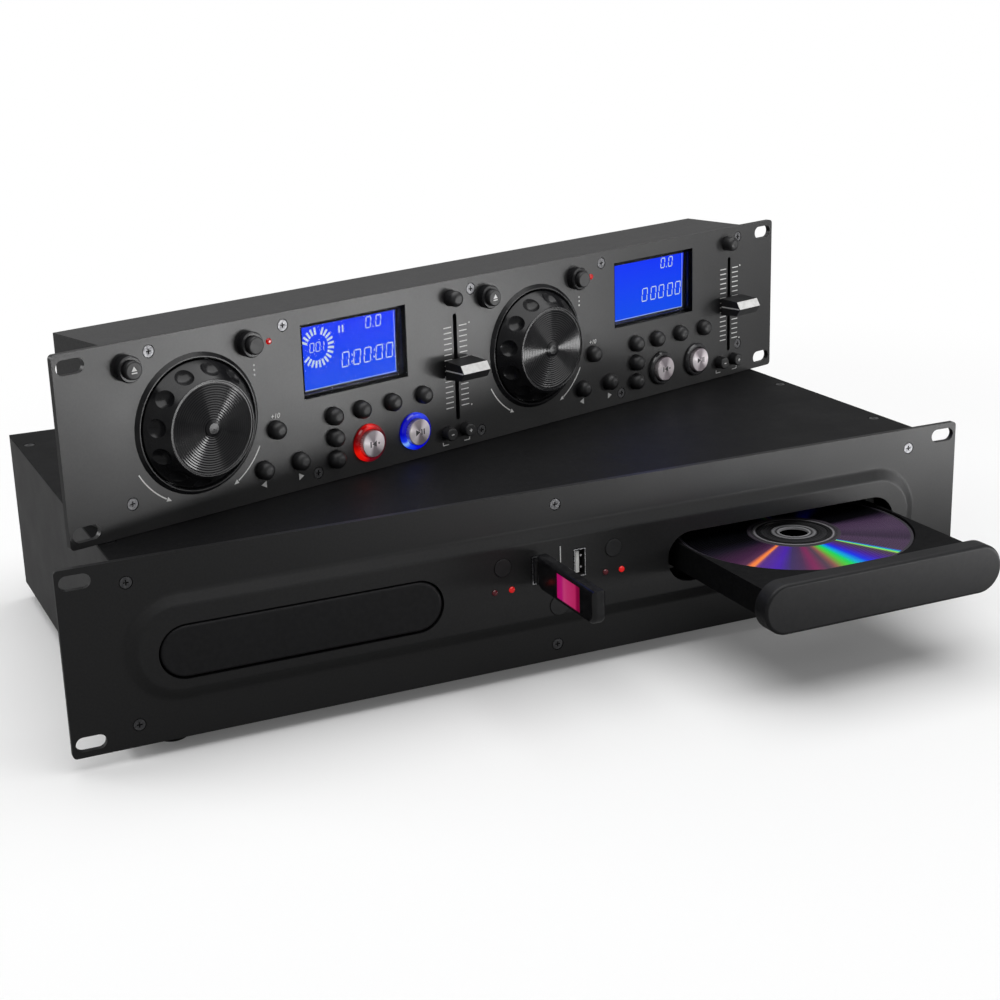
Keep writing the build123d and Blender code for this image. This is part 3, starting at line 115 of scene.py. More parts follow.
# %% The floor
FLOOR = solids_box[0].z
FLOOR_SIZE = 12.0
SEEN_GREY = 0.88
BOUNCED_GREY = 0.25
bpy.ops.mesh.primitive_grid_add(
    x_subdivisions=8, y_subdivisions=8, size=FLOOR_SIZE, location=(0, 0, FLOOR)
)
floor = bpy.context.object
floor.name = "paper_floor"
paper = bpy.data.materials.new("studio_paper")
paper.use_nodes = True
tree = paper.node_tree
shader = tree.nodes["Principled BSDF"]
shader.inputs["Roughness"].default_value = 0.9
shader.inputs["Specular IOR Level"].default_value = 0.0
light_path = tree.nodes.new("ShaderNodeLightPath")
shade = tree.nodes.new("ShaderNodeMix")
shade.data_type = "RGBA"
shade.inputs[6].default_value = (BOUNCED_GREY, BOUNCED_GREY, BOUNCED_GREY, 1)
shade.inputs[7].default_value = (SEEN_GREY, SEEN_GREY, SEEN_GREY, 1)
tree.links.new(light_path.outputs["Is Camera Ray"], shade.inputs[0])
tree.links.new(shade.outputs[2], shader.inputs["Base Color"])
print("floor at", FLOOR)

# %% [markdown]
# How far a point of the paper lies outside the player's footprint is worked out as for a box: the
# distance past each side, with the part inside counted as nothing. A round glow would be simpler,
# but it would eat the shadow at the ends of such a long object.

# %% The paper's glow
LOW, HIGH = Vector(solids_box[0]), Vector(solids_box[1])
GLOW_REACH = 0.55
NEAR_GLOW = 0.08
coordinates = tree.nodes.new("ShaderNodeTexCoord")
value = coordinates.outputs["Object"]
for operation, amount in (
    ("SUBTRACT", (LOW + HIGH) / 2), ("ABSOLUTE", None), ("SUBTRACT", (HIGH - LOW) / 2),
    ("MAXIMUM", Vector((0, 0, 0))), ("MULTIPLY", Vector((1, 1, 0))), ("LENGTH", None),
):
    step = tree.nodes.new("ShaderNodeVectorMath")
    step.operation = operation
    tree.links.new(value, step.inputs[0])
    if amount is not None:
        step.inputs[1].default_value = amount
    value = step.outputs["Value" if operation == "LENGTH" else "Vector"]
rise = tree.nodes.new("ShaderNodeMapRange")
rise.interpolation_type = "SMOOTHSTEP"
rise.inputs["From Max"].default_value = GLOW_REACH
rise.inputs["To Min"].default_value = NEAR_GLOW
rise.inputs["To Max"].default_value = 1.0
tree.links.new(value, rise.inputs["Value"])
seen = tree.nodes.new("ShaderNodeMath")
seen.operation = "MULTIPLY"
tree.links.new(light_path.outputs["Is Camera Ray"], seen.inputs[0])
tree.links.new(rise.outputs["Result"], seen.inputs[1])
glow = tree.nodes.new("ShaderNodeEmission")
blend = tree.nodes.new("ShaderNodeMixShader")
tree.links.new(seen.outputs[0], blend.inputs["Fac"])
tree.links.new(shader.outputs["BSDF"], blend.inputs[1])
tree.links.new(glow.outputs["Emission"], blend.inputs[2])
tree.links.new(blend.outputs["Shader"], tree.nodes["Material Output"].inputs["Surface"])
floor.data.materials.append(paper)
print("paper glows fully", GLOW_REACH, "m away")

# %% [markdown]
# The room is white to the camera and much dimmer to everything that it lights or is mirrored in.
# A black object looks black only where it mirrors something dark. Black cards round the player
# would do this on a real set, and here one switch on the kind of ray does it.

# %% The room
ROOM_STRENGTH = 0.28
world = bpy.data.worlds.new("white_room")
bpy.context.scene.world = world
world.use_nodes = True
tree = world.node_tree
tree.nodes.clear()
room = tree.nodes.new("ShaderNodeBackground")
room.inputs["Strength"].default_value = ROOM_STRENGTH
white = tree.nodes.new("ShaderNodeBackground")
for background in (room, white):
    background.inputs["Color"].default_value = (1, 1, 1, 1)
light_path = tree.nodes.new("ShaderNodeLightPath")
blend = tree.nodes.new("ShaderNodeMixShader")
tree.links.new(light_path.outputs["Is Camera Ray"], blend.inputs["Fac"])
tree.links.new(room.outputs["Background"], blend.inputs[1])
tree.links.new(white.outputs["Background"], blend.inputs[2])
output = tree.nodes.new("ShaderNodeOutputWorld")
tree.links.new(blend.outputs["Shader"], output.inputs["Surface"])
bpy.context.scene.view_settings.view_transform = "Standard"
print("room", ROOM_STRENGTH, "bright to all but the camera")

# %% [markdown]
# A wide soft box overhead lights the paper and the tops. A second one to the right of the camera
# lights the two panels, and a light table lying beside the player is mirrored in them: in the
# control unit's upper half, where its own lid is not in the way, and in the transport's right half,
# because the two panels face different ways. It is turned so that the control unit's left end
# mirrors less of it and darkens downwards. A small lamp low on the right draws the streak across
# the jog grooves, and one behind on the left edges the case.


# %% The lamps
def soft_lamp(name, place, target, size, power):
    """Square soft lamp at a place, aimed at a target."""
    bpy.ops.object.light_add(type="AREA", location=place)
    lamp = bpy.context.object
    lamp.name = name
    lamp.data.size = size
    lamp.data.energy = power
    lamp.rotation_euler = (Vector(target) - Vector(place)).to_track_quat("-Z", "Y").to_euler()
    return lamp


soft_lamp("overhead_box", (0, 0, 1.5), (0, 0, 0), 2.2, 31.0)
soft_lamp("right_box", (1.5, -1.15, 0.42), (0.05, 0.05, 0.05), 0.8, 2.5)
soft_lamp("streak_lamp", (1.45, -0.56, 0.17), (-0.05, 0.08, 0.09), 0.26, 2.6)
soft_lamp("edge_lamp", (-1.3, 0.9, 0.6), (-0.1, 0.1, 0.05), 0.7, 5.0)
TABLE_PLACE = Vector((0.475, -0.433, FLOOR + 0.004))
TABLE_TURN = radians(40)
table = soft_lamp("light_table", TABLE_PLACE, TABLE_PLACE + Vector((0, 0, 1)), 0.49, 8.5)
table.rotation_euler = (pi, 0, TABLE_TURN)
table.visible_camera = False
print(len(bpy.data.lights), "lamps")

# %% [markdown]
# ## Finishes
# Every finish starts as one shader and gets its detail from noise that is read at the real size,
# in metres: how coarse the powder coat is, how patchy its gloss, how deep its grain. A picture
# could be wrapped round the parts instead, but noise has no seams and needs no unwrapping.


# %% Helpers for finishes
def finish(name, colour, rough, metal=0.0, specular=0.5, coat=0.0):
    """New material with one shader, its constants set on the shader itself."""
    made = bpy.data.materials.new(name)
    made.use_nodes = True
    surface = made.node_tree.nodes["Principled BSDF"]
    surface.inputs["Base Color"].default_value = (*colour, 1)
    surface.inputs["Roughness"].default_value = rough
    surface.inputs["Metallic"].default_value = metal
    surface.inputs["Specular IOR Level"].default_value = specular
    surface.inputs["Coat Weight"].default_value = coat
    surface.inputs["Coat Roughness"].default_value = 0.08
    print("finish", name)
    return made


def pattern_place(made, centre=(0, 0, 0), turn=0.0):
    """Object coordinates in metres, from a centre and turned about the upright axis."""
    tree = made.node_tree
    coordinates = tree.nodes.new("ShaderNodeTexCoord")
    mapping = tree.nodes.new("ShaderNodeMapping")
    mapping.vector_type = "TEXTURE"
    mapping.inputs["Location"].default_value = centre
    mapping.inputs["Rotation"].default_value = (0, 0, turn)
    tree.links.new(coordinates.outputs["Object"], mapping.inputs["Vector"])
    return mapping.outputs["Vector"]


def noise(made, place, scale, detail=4.0):
    """Noise read at a place, its scale in lumps to the metre."""
    tree = made.node_tree
    texture = tree.nodes.new("ShaderNodeTexNoise")
    texture.inputs["Scale"].default_value = scale
    texture.inputs["Detail"].default_value = detail
    tree.links.new(place, texture.inputs["Vector"])
    return texture.outputs["Fac"]


def ramp(made, value, stops):
    """Colour ramp from (position, colour) stops."""
    tree = made.node_tree
    colours = tree.nodes.new("ShaderNodeValToRGB")
    elements = colours.color_ramp.elements
    for index, (position, colour) in enumerate(stops):
        element = elements[index] if index < 2 else elements.new(position)
        element.position = position
        element.color = (*colour, 1)
    tree.links.new(value, colours.inputs["Fac"])
    return colours.outputs["Color"]


def stretch(made, value, low, high, start=0.3, end=0.7):
    """Take a value from one range to another."""
    tree = made.node_tree
    spread = tree.nodes.new("ShaderNodeMapRange")
    spread.inputs["From Min"].default_value = start
    spread.inputs["From Max"].default_value = end
    spread.inputs["To Min"].default_value = low
    spread.inputs["To Max"].default_value = high
    tree.links.new(value, spread.inputs["Value"])
    return spread.outputs["Result"]


def feed(made, value, socket):
    """Link a value to a socket of the finish's shader."""
    surface = made.node_tree.nodes["Principled BSDF"]
    made.node_tree.links.new(value, surface.inputs[socket])


def emboss(made, value, depth, strength=1.0):
    """Raise the surface by a value, its depth in metres."""
    tree = made.node_tree
    bump = tree.nodes.new("ShaderNodeBump")
    bump.inputs["Strength"].default_value = strength
    bump.inputs["Distance"].default_value = depth
    tree.links.new(value, bump.inputs["Height"])
    feed(made, bump.outputs["Normal"], "Normal")


def mottled(made, scale, dark, light):
    """Vary the base colour between two close shades."""
    place = pattern_place(made)
    feed(made, ramp(made, noise(made, place, scale), [(0.35, dark), (0.65, light)]), "Base Color")


def patchy(made, scale, low, high):
    """Vary the gloss between two roughness values."""
    place = pattern_place(made)
    feed(made, stretch(made, noise(made, place, scale), low, high), "Roughness")


def grained(made, scale, depth, strength=1.0):
    """Give the surface an even grain."""
    place = pattern_place(made)
    emboss(made, noise(made, place, scale, 2.0), depth, strength)


def tone(level, blue=0.0005):
    """Grey with a touch of blue."""
    return (level, level, level + blue)


def detailed(name, colour, rough, shades, gloss=None, grain=None, **more):
    """Finish whose shade, gloss and grain vary, each given by a scale and its range."""
    made = finish(name, colour, rough, **more)
    mottled(made, *shades)
    if gloss:
        patchy(made, *gloss)
    if grain:
        grained(made, *grain)
    return made


# %% [markdown]
# Both front panels are black powder-coated steel with a fine, even tooth, and the control unit's is
# a shade greyer and more satin. The cases have a coarser coat, and the lid a flatter one. On the
# real thing the coat is thin and slightly patchy in gloss, so its roughness varies over a few
# centimetres and its tooth is a fraction of a millimetre.

# %% Powder-coated metal
control_coat = detailed(
    "control_panel_coat", tone(0.013), 0.34, specular=0.55,
    shades=(900, tone(0.011), tone(0.0155)), gloss=(25, 0.32, 0.36), grain=(2600, 0.00006, 0.5),
)

panel_coat = detailed(
    "transport_panel_coat", tone(0.010), 0.44, specular=0.42,
    shades=(900, tone(0.0085), tone(0.0120)), gloss=(25, 0.42, 0.47), grain=(2600, 0.00006, 0.5),
)

case_coat = detailed(
    "case_powder_coat", tone(0.026), 0.55, specular=0.5,
    shades=(900, tone(0.021), tone(0.033)), gloss=(40, 0.50, 0.60), grain=(1500, 0.0001, 0.6),
)

lid_coat = detailed(
    "lid_powder_coat", tone(0.006), 0.5, specular=0.10,
    shades=(900, tone(0.0045), tone(0.008)), gloss=(40, 0.50, 0.60), grain=(1500, 0.0001, 0.6),
)

parts["transport_front_panel"].data.materials[0] = panel_coat
parts["controller_front_panel"].data.materials[0] = control_coat
for name in ("transport_chassis", "controller_case"):
    parts[name].data.materials[0] = case_coat
parts["transport_cover"].data.materials[0] = lid_coat

# %% [markdown]
# The buttons, drawers and fader caps are moulded plastic: soft satin on the small domes, a finer
# satin on the bezels, and high gloss on the rims of the jog wheels and the trim rings. One black
# for all would be quicker, but it is the difference in gloss that tells the pieces apart.

# %% Moulded plastics
button_plastic = detailed(
    "button_satin_plastic", tone(0.014, 0.001), 0.42, specular=0.45,
    shades=(300, tone(0.012, 0.001), tone(0.018, 0.001)),
    gloss=(200, 0.38, 0.48), grain=(5000, 0.00002, 0.4),
)

drawer_plastic = detailed(
    "drawer_satin_plastic", tone(0.010, 0.001), 0.42, specular=0.24,
    shades=(400, tone(0.009, 0.001), tone(0.012, 0.001)),
    gloss=(60, 0.40, 0.45), grain=(3500, 0.00003, 0.4),
)

gloss_plastic = detailed(
    "jog_gloss_plastic", tone(0.008, 0.001), 0.24, specular=0.35,
    shades=(150, tone(0.006, 0.001), tone(0.011, 0.001)),
    gloss=(90, 0.20, 0.28), grain=(700, 0.00002, 0.2),
)

trim_plastic = detailed(
    "trim_ring_plastic", tone(0.010, 0.001), 0.26, specular=0.3,
    shades=(120, tone(0.008, 0.001), tone(0.013, 0.001)),
    gloss=(80, 0.22, 0.32), grain=(3000, 0.00002, 0.3),
)

tray_plastic = detailed(
    "tray_black_plastic", tone(0.006), 0.6, specular=0.06,
    shades=(500, tone(0.0045), tone(0.008)), grain=(2500, 0.00004, 0.5),
)

inner_plastic = detailed(
    "loader_black_plastic", tone(0.012, 0), 0.6, specular=0.3,
    shades=(100, tone(0.009, 0), tone(0.016, 0)), grain=(2500, 0.00005, 0.5),
)

foot_rubber = detailed(
    "foot_rubber", tone(0.012, 0), 0.8, specular=0.3,
    shades=(400, tone(0.010, 0), tone(0.018, 0)), grain=(1800, 0.00008, 0.6),
)

for name, part in parts.items():
    if name.endswith(("_left", "_right")) or name == "power_button":
        part.data.materials[0] = button_plastic
for side in decks:
    parts["tray_" + side].data.materials[0] = drawer_plastic
    parts["jog_wheel_" + side].data.materials[0] = gloss_plastic
parts["panel_trim_rings"].data.materials[0] = trim_plastic
parts["loader_decks"].data.materials[0] = inner_plastic
parts["feet"].data.materials[0] = foot_rubber

# %% [markdown]
# Inside, seen through the open drawer, are green circuit boards. Their solder mask is a glossy
# green over copper tracks that show as slightly lighter lines, made here by a brick pattern.

# %% Circuit boards
board_finish = finish("circuit_board", (0.01, 0.09, 0.04), 0.35, specular=0.5)
tracks = board_finish.node_tree.nodes.new("ShaderNodeTexBrick")
tracks.inputs["Color1"].default_value = (0.008, 0.075, 0.03, 1)
tracks.inputs["Color2"].default_value = (0.012, 0.10, 0.04, 1)
tracks.inputs["Mortar"].default_value = (0.03, 0.16, 0.07, 1)
tracks.inputs["Scale"].default_value = 150
board_finish.node_tree.links.new(pattern_place(board_finish), tracks.inputs["Vector"])
feed(board_finish, tracks.outputs["Color"], "Base Color")
for name in ("circuit_boards", "controller_board"):
    parts[name].data.materials[0] = board_finish


# %% [markdown]
# Some solids hold two finishes, such as a memory stick with a coloured window. Painting faces
# picked by their place keeps the solid as it is and only changes what covers it. A panel's own
# coordinates, in millimetres, make such places easy to say.


# %% Painting picked faces
def paint(name, made, picked):
    """Give another finish to the faces of a solid whose centre and normal are picked."""
    mesh = parts[name].data
    mesh.materials.append(made)
    index = len(mesh.materials) - 1
    count = 0
    for face in mesh.polygons:
        if picked(face.center, face.normal):
            face.material_index = index
            count += 1
    print(name, made.name, count, "faces")


def on_control(point):
    """A point in the control unit's own face coordinates, in millimetres."""
    return (control_face.inverted() @ point) / MM


def on_transport(point):
    """A point in the transport's own face coordinates, in millimetres."""
    return (transport_face.inverted() @ point) / MM


# %% [markdown]
# A drawer is one moulding with two looks: a satin bezel in front and a flat black tray behind it.
# Everything further back than the bezel's depth is painted as tray.

# %% Trays behind their bezels
DRAWER_FRONTS = {"left": -3.0, "right": -91.0}
BEZEL_DEPTH = 8.2
for side, front in DRAWER_FRONTS.items():
    paint("tray_" + side, tray_plastic, lambda c, n: c.y > (front + BEZEL_DEPTH) * MM)

# %% [markdown]
# Screws and sockets are plated steel. Plating is bright and slightly uneven. The recess of each
# screw is deep and dark, so its faces are painted as a shadowed steel: a lamp can't reach far into
# so small a hollow on the real screw, and the picture's light would need many samples to show it.

# %% Plated steel
plated = detailed(
    "plated_steel", (0.55, 0.55, 0.56), 0.28, metal=1.0,
    shades=(700, (0.48, 0.48, 0.50), (0.62, 0.62, 0.63)),
    gloss=(900, 0.22, 0.36), grain=(3000, 0.00002, 0.3),
)

dull_steel = detailed(
    "dull_screw_steel", (0.12, 0.12, 0.125), 0.34, metal=1.0,
    shades=(700, (0.09, 0.09, 0.095), (0.16, 0.16, 0.165)), gloss=(900, 0.28, 0.42),
)

recess = detailed(
    "screw_recess", tone(0.02, 0), 0.5, metal=0.6,
    shades=(900, tone(0.012, 0), tone(0.03, 0)),
)

parts["controller_screws"].data.materials[0] = dull_steel
parts["transport_screws"].data.materials[0] = dull_steel
parts["connector_sockets"].data.materials[0] = plated
HEAD_TOP = -0.1
RECESS_DEPTH = 1.2
RECESS_REACH = 1.5
screw_seats = [
    (-193.2, 38.2), (-208.3, -30.0), (-119.8, 38.2), (-104.2, -38.2), (-1.0, 38.2),
    (3.4, -38.2), (95.0, 38.2), (110.0, -38.2), (210.0, 38.2), (210.8, -26.5),
]


def in_recess(point, seats):
    """True near the middle of a screw and just below the top of its head."""
    aside = min(hypot(point.x - x, point.y - y) for x, y in seats)
    return aside < RECESS_REACH and HEAD_TOP - RECESS_DEPTH < point.z < HEAD_TOP - 0.02


paint("controller_screws", recess, lambda c, n: in_recess(on_control(c), screw_seats))
transport_seats = [(i * 210.5, j * 34.0) for i in (-1, 1) for j in (-1, 1)]
transport_seats += [(0, 36.4), (0, -36.4)]
paint("transport_screws", recess, lambda c, n: in_recess(on_transport(c), transport_seats))

# %% [markdown]
# A USB socket is a steel shell with a tongue of white plastic. The mains inlet and the round
# control sockets are black plastic, and the phono sockets have a gilt pin and shell. The same black
# covers what stands on the control unit's board, where two round sockets show at the back.

# %% Sockets
tongue_plastic = detailed(
    "usb_tongue_plastic", (0.75, 0.75, 0.73), 0.4,
    shades=(500, (0.70, 0.70, 0.68), (0.80, 0.80, 0.78)),
)
black_moulding = detailed(
    "socket_black_moulding", tone(0.012, 0), 0.5,
    shades=(300, tone(0.009, 0), tone(0.018, 0)),
)
gilt = detailed(
    "phono_gilt", (0.85, 0.62, 0.25), 0.25, metal=1.0,
    shades=(600, (0.78, 0.56, 0.22), (0.88, 0.66, 0.28)),
)


USB_SIDE, USB_LEVEL = 11.4, 5.6


def from_socket(point):
    """A point from the middle of the nearer USB socket, in millimetres."""
    p = on_transport(point)
    return Vector((p.x - copysign(USB_SIDE, p.x), p.y - USB_LEVEL, p.z))


def on_usb_tongue(centre, normal):
    p = from_socket(centre)
    return abs(p.x + 0.85) < 0.97 and abs(p.y) < 5.52 and p.z > -11.5


def in_usb_hollow_shade(centre, normal):
    p = from_socket(centre)
    return abs(p.x) < 2.72 and abs(p.y) < 6.72 and -13 < p.z < 3.1


# Painted shade: the walls and back inside each USB shell are black, for a hollow light hardly
# reaches.
paint("connector_sockets", black_moulding, in_usb_hollow_shade)
paint("connector_sockets", tongue_plastic, on_usb_tongue)
paint("connector_sockets", black_moulding, lambda c, n: c.y > 0.2 and c.x < -0.1)
paint("connector_sockets", black_moulding, lambda c, n: c.y > 0.2 and -0.03 < c.x < 0.04)
paint("connector_sockets", gilt, lambda c, n: c.y > 0.2 and c.x > 0.04)
BOARD_FRONT, BOARD_BACK = -14.45, -16.15


def off_board(centre, normal):
    """Picks the switches, encoders, fader tracks and round sockets that stand on the board."""
    return not BOARD_BACK < on_control(centre).z < BOARD_FRONT


paint("controller_board", black_moulding, off_board)

# %% [markdown]
# ## Lit parts
# The lamps shine red, and the left deck's cue and play rings are lit red and blue. A lit ring is a
# clear moulding over a lamp, so it is bright where the lamp sits and glossy all over: its glow is a
# ramp over the angle round its own centre. The right deck's rings are off and look almost black.


# %% Angle and radius
def angle_round(made, place, first, second):
    """Angle and radius round the middle of a place, from two of its axes."""
    tree = made.node_tree
    split = tree.nodes.new("ShaderNodeSeparateXYZ")
    tree.links.new(place, split.inputs[0])
    turn = tree.nodes.new("ShaderNodeMath")
    turn.operation = "ARCTAN2"
    tree.links.new(split.outputs[second], turn.inputs[0])
    tree.links.new(split.outputs[first], turn.inputs[1])
    flat = tree.nodes.new("ShaderNodeCombineXYZ")
    tree.links.new(split.outputs[first], flat.inputs[0])
    tree.links.new(split.outputs[second], flat.inputs[1])
    length = tree.nodes.new("ShaderNodeVectorMath")
    length.operation = "LENGTH"
    tree.links.new(flat.outputs[0], length.inputs[0])
    return turn.outputs[0], length.outputs["Value"]


def wave(made, value, factor, shift):
    """Sine of a value, between -1 and 1."""
    tree = made.node_tree
    scale = tree.nodes.new("ShaderNodeMath")
    scale.operation = "MULTIPLY_ADD"
    scale.inputs[1].default_value = factor
    scale.inputs[2].default_value = shift
    tree.links.new(value, scale.inputs[0])
    sine = tree.nodes.new("ShaderNodeMath")
    sine.operation = "SINE"
    tree.links.new(scale.outputs[0], sine.inputs[0])
    return sine.outputs[0]


# %% [markdown]
# A lamp's light comes from inside its lens, and its glow varies a little by noise.
# A real lamp behind clear plastic would be slow and noisy, and a glow of the surface itself is
# steady and costs nothing.


# %% Lit finishes
def lit(name, colour, base, strength):
    """Glossy moulding with a lamp behind it."""
    made = finish(name, base, 0.18, coat=0.4)
    surface = made.node_tree.nodes["Principled BSDF"]
    surface.inputs["Emission Strength"].default_value = strength
    place = pattern_place(made)
    dim = tuple(0.45 * c for c in colour)
    feed(made, ramp(made, noise(made, place, 90, 1.0), [(0.38, dim), (0.62, colour)]),
         "Emission Color")
    return made


red_lamp = lit("lamp_red_lit", (0.60, 0.006, 0.006), (0.12, 0.0, 0.0), 0.9)
red_lamp_off = detailed(
    "lamp_red_off", (0.12, 0.005, 0.012), 0.15, coat=0.5,
    shades=(400, (0.09, 0.004, 0.01), (0.16, 0.008, 0.016)),
)
clear_ring = detailed(
    "ring_unlit", (0.03, 0.03, 0.033), 0.2, coat=0.4,
    shades=(200, (0.02, 0.02, 0.022), (0.045, 0.045, 0.048)),
)

parts["controller_lights"].data.materials[0] = clear_ring
CUE, PLAY = (35.4, -29.4), (65.2, -29.4)


def lit_ring(name, spot, base, stops):
    """Ring on the left deck with its glow given round its centre, from -180 to 180 degrees."""
    made = finish(name, base, 0.16, coat=0.5)
    made.node_tree.nodes["Principled BSDF"].inputs["Emission Strength"].default_value = 0.9
    centre = control_face @ Vector(((spot[0] - DECK) * MM, spot[1] * MM, 0))
    angle, _ = angle_round(made, pattern_place(made, centre, YAW), "X", "Z")
    share = stretch(made, angle, 0.0, 1.0, -pi, pi)
    feed(made, ramp(made, share, stops), "Emission Color")
    return made


red_ring = lit_ring("cue_ring_red", CUE, (0.06, 0.0, 0.003), [
    (0.00, (0.30, 0.0, 0.0)), (0.06, (0.80, 0.008, 0.002)), (0.15, (0.75, 0.004, 0.002)),
    (0.22, (0.14, 0.0, 0.006)), (0.42, (0.05, 0.0, 0.008)), (0.60, (0.04, 0.0, 0.004)),
    (0.68, (0.30, 0.0, 0.0)), (0.76, (0.80, 0.004, 0.0)), (0.84, (0.20, 0.0, 0.0)),
    (0.94, (0.10, 0.0, 0.0)), (1.00, (0.30, 0.0, 0.0)),
])
blue_ring = lit_ring("play_ring_blue", PLAY, (0.0, 0.0, 0.08), [
    (0.00, (0.0, 0.0, 0.45)), (0.07, (0.01, 0.04, 0.85)), (0.10, (0.25, 0.50, 1.0)),
    (0.14, (0.01, 0.06, 0.95)), (0.24, (0.0, 0.0, 0.70)), (0.42, (0.0, 0.0, 0.40)),
    (0.56, (0.0, 0.0, 0.30)), (0.68, (0.02, 0.05, 0.80)), (0.75, (0.03, 0.06, 0.85)),
    (0.84, (0.0, 0.0, 0.35)), (1.00, (0.0, 0.0, 0.45)),
])


def round_place(u, v, reach):
    """Picks the faces of the control unit within reach of a place on its panel."""
    def picked(centre, normal):
        p = on_control(centre)
        return hypot(p.x - u, p.y - v) < reach
    return picked


paint("controller_lights", red_ring, round_place(-DECK + CUE[0], CUE[1], 11))
paint("controller_lights", blue_ring, round_place(-DECK + PLAY[0], PLAY[1], 11))
for deck in decks.values():
    paint("controller_lights", red_lamp, round_place(deck - 20.8, 31.9, 3))
parts["transport_lights"].data.materials[0] = red_lamp_off
paint("transport_lights", red_lamp, lambda c, n: abs(c.x / MM + 25.65) < 2)
paint("transport_lights", red_lamp, lambda c, n: abs(c.x / MM - 34.75) < 2)

# %% [markdown]
# ## Displays
# Each display is a blue backlit panel five millimetres behind a clear window. The blue is a little
# lighter towards the bottom, where the backlight's lamp is. The window's rim is black, as if
# printed, and only its middle is clear. Real glass would mirror the light table and wash out the
# figures, so the window is clear with a faint mirror over it.

# %% Display finishes
screen_blue = finish("screen_blue_light", (0.0, 0.003, 0.06), 0.5, specular=0.08)
surface = screen_blue.node_tree.nodes["Principled BSDF"]
surface.inputs["Emission Strength"].default_value = 1.0
place = pattern_place(screen_blue, CONTROL_CENTRE, YAW)
split = screen_blue.node_tree.nodes.new("ShaderNodeSeparateXYZ")
screen_blue.node_tree.links.new(place, split.inputs[0])
feed(
    screen_blue,
    ramp(
        screen_blue,
        stretch(screen_blue, split.outputs["Z"], 0.0, 1.0, 0.002, 0.034),
        [(0.0, (0.0, 0.070, 0.80)), (1.0, (0.0, 0.030, 0.90))],
    ),
    "Emission Color",
)
frame_black = detailed(
    "display_frame_black", tone(0.008, 0.001), 0.25,
    shades=(200, tone(0.006, 0.001), tone(0.012, 0.001)),
)
parts["display_modules"].data.materials[0] = frame_black
DISPLAY = (30.1, 18.2)
SCREEN_DEPTH = 5.0


def on_screen(centre, normal):
    p = on_control(centre)
    u = p.x - (DECK if p.x > 0 else -DECK) - DISPLAY[0]
    return abs(u) < 29.1 and abs(p.y - DISPLAY[1]) < 16 and abs(p.z + SCREEN_DEPTH) < 0.1


paint("display_modules", screen_blue, on_screen)

window_clear = bpy.data.materials.new("window_clear")
window_clear.use_nodes = True
tree = window_clear.node_tree
tree.nodes.remove(tree.nodes["Principled BSDF"])
through = tree.nodes.new("ShaderNodeBsdfTransparent")
through.inputs["Color"].default_value = (0.97, 0.97, 0.98, 1)
mirror = tree.nodes.new("ShaderNodeBsdfGlossy")
mirror.inputs["Color"].default_value = (1, 1, 1, 1)
smear = noise(window_clear, pattern_place(window_clear), 40)
tree.links.new(stretch(window_clear, smear, 0.03, 0.08), mirror.inputs["Roughness"])
edge = tree.nodes.new("ShaderNodeFresnel")
edge.inputs["IOR"].default_value = 1.045
blend = tree.nodes.new("ShaderNodeMixShader")
tree.links.new(edge.outputs["Fac"], blend.inputs["Fac"])
tree.links.new(through.outputs["BSDF"], blend.inputs[1])
tree.links.new(mirror.outputs["BSDF"], blend.inputs[2])
tree.links.new(blend.outputs["Shader"], tree.nodes["Material Output"].inputs["Surface"])
parts["display_windows"].data.materials[0] = window_clear


OUT = Vector((sin(YAW), -cos(YAW), 0))


def on_window_rim(centre, normal):
    return abs(normal.dot(OUT)) < 0.5 or on_control(centre).z < -2.0


paint("display_windows", frame_black, on_window_rim)


# %% [markdown]
# ## Printed and lit marks
# A mark is drawn flat, in millimetres on its face, from bars, triangles, rings and discs, and then
# given the thickness of ink in one extrusion. Drawn as meshes they stay sharp at any size, where a
# painted pattern would blur.


# %% Drawing tools
def clear_selection():
    bpy.ops.object.select_all(action="DESELECT")


def bar(x, y, length, height, turn=0.0):
    """Flat bar by its centre."""
    bpy.ops.mesh.primitive_plane_add(size=1, location=(x * MM, y * MM, 0), rotation=(0, 0, turn))
    made = bpy.context.object
    made.scale = (length * MM, height * MM, 1)
    return made


def triangle(x, y, width, height, turn=0.0):
    """Flat triangle that points up before it is turned."""
    bpy.ops.mesh.primitive_circle_add(
        vertices=3, radius=1, fill_type="NGON", location=(x * MM, y * MM, 0), rotation=(0, 0, turn)
    )
    made = bpy.context.object
    made.scale = (width * MM / 1.732, height * MM / 1.5, 1)
    return made


def dot(x, y, radius, corners=24):
    """Flat disc."""
    bpy.ops.mesh.primitive_circle_add(
        vertices=corners, radius=radius * MM, fill_type="NGON", location=(x * MM, y * MM, 0)
    )
    return bpy.context.object


def arc(x, y, radius, width, start, end):
    """Flat curved stroke between two angles, in degrees from the right-hand side."""
    clear_selection()
    for size in (radius - width / 2, radius + width / 2):
        bpy.ops.mesh.primitive_circle_add(vertices=180, radius=size * MM, fill_type="NOTHING")
        if size < radius:
            inner = bpy.context.object
    made = bpy.context.object
    inner.select_set(True)
    bpy.ops.object.join()
    bpy.ops.object.mode_set(mode="EDIT")
    bpy.ops.mesh.select_all(action="SELECT")
    bpy.ops.mesh.bridge_edge_loops()
    bpy.ops.mesh.select_all(action="DESELECT")
    bpy.ops.object.mode_set(mode="OBJECT")
    for face in made.data.polygons:
        angle = degrees(atan2(face.center.y, face.center.x)) % 360
        face.select = not start % 360 < angle < end % 360
    bpy.ops.object.mode_set(mode="EDIT")
    bpy.ops.mesh.select_mode(type="FACE")
    bpy.ops.mesh.delete(type="FACE")
    bpy.ops.object.mode_set(mode="OBJECT")
    made.location = (x * MM, y * MM, 0)
    return made


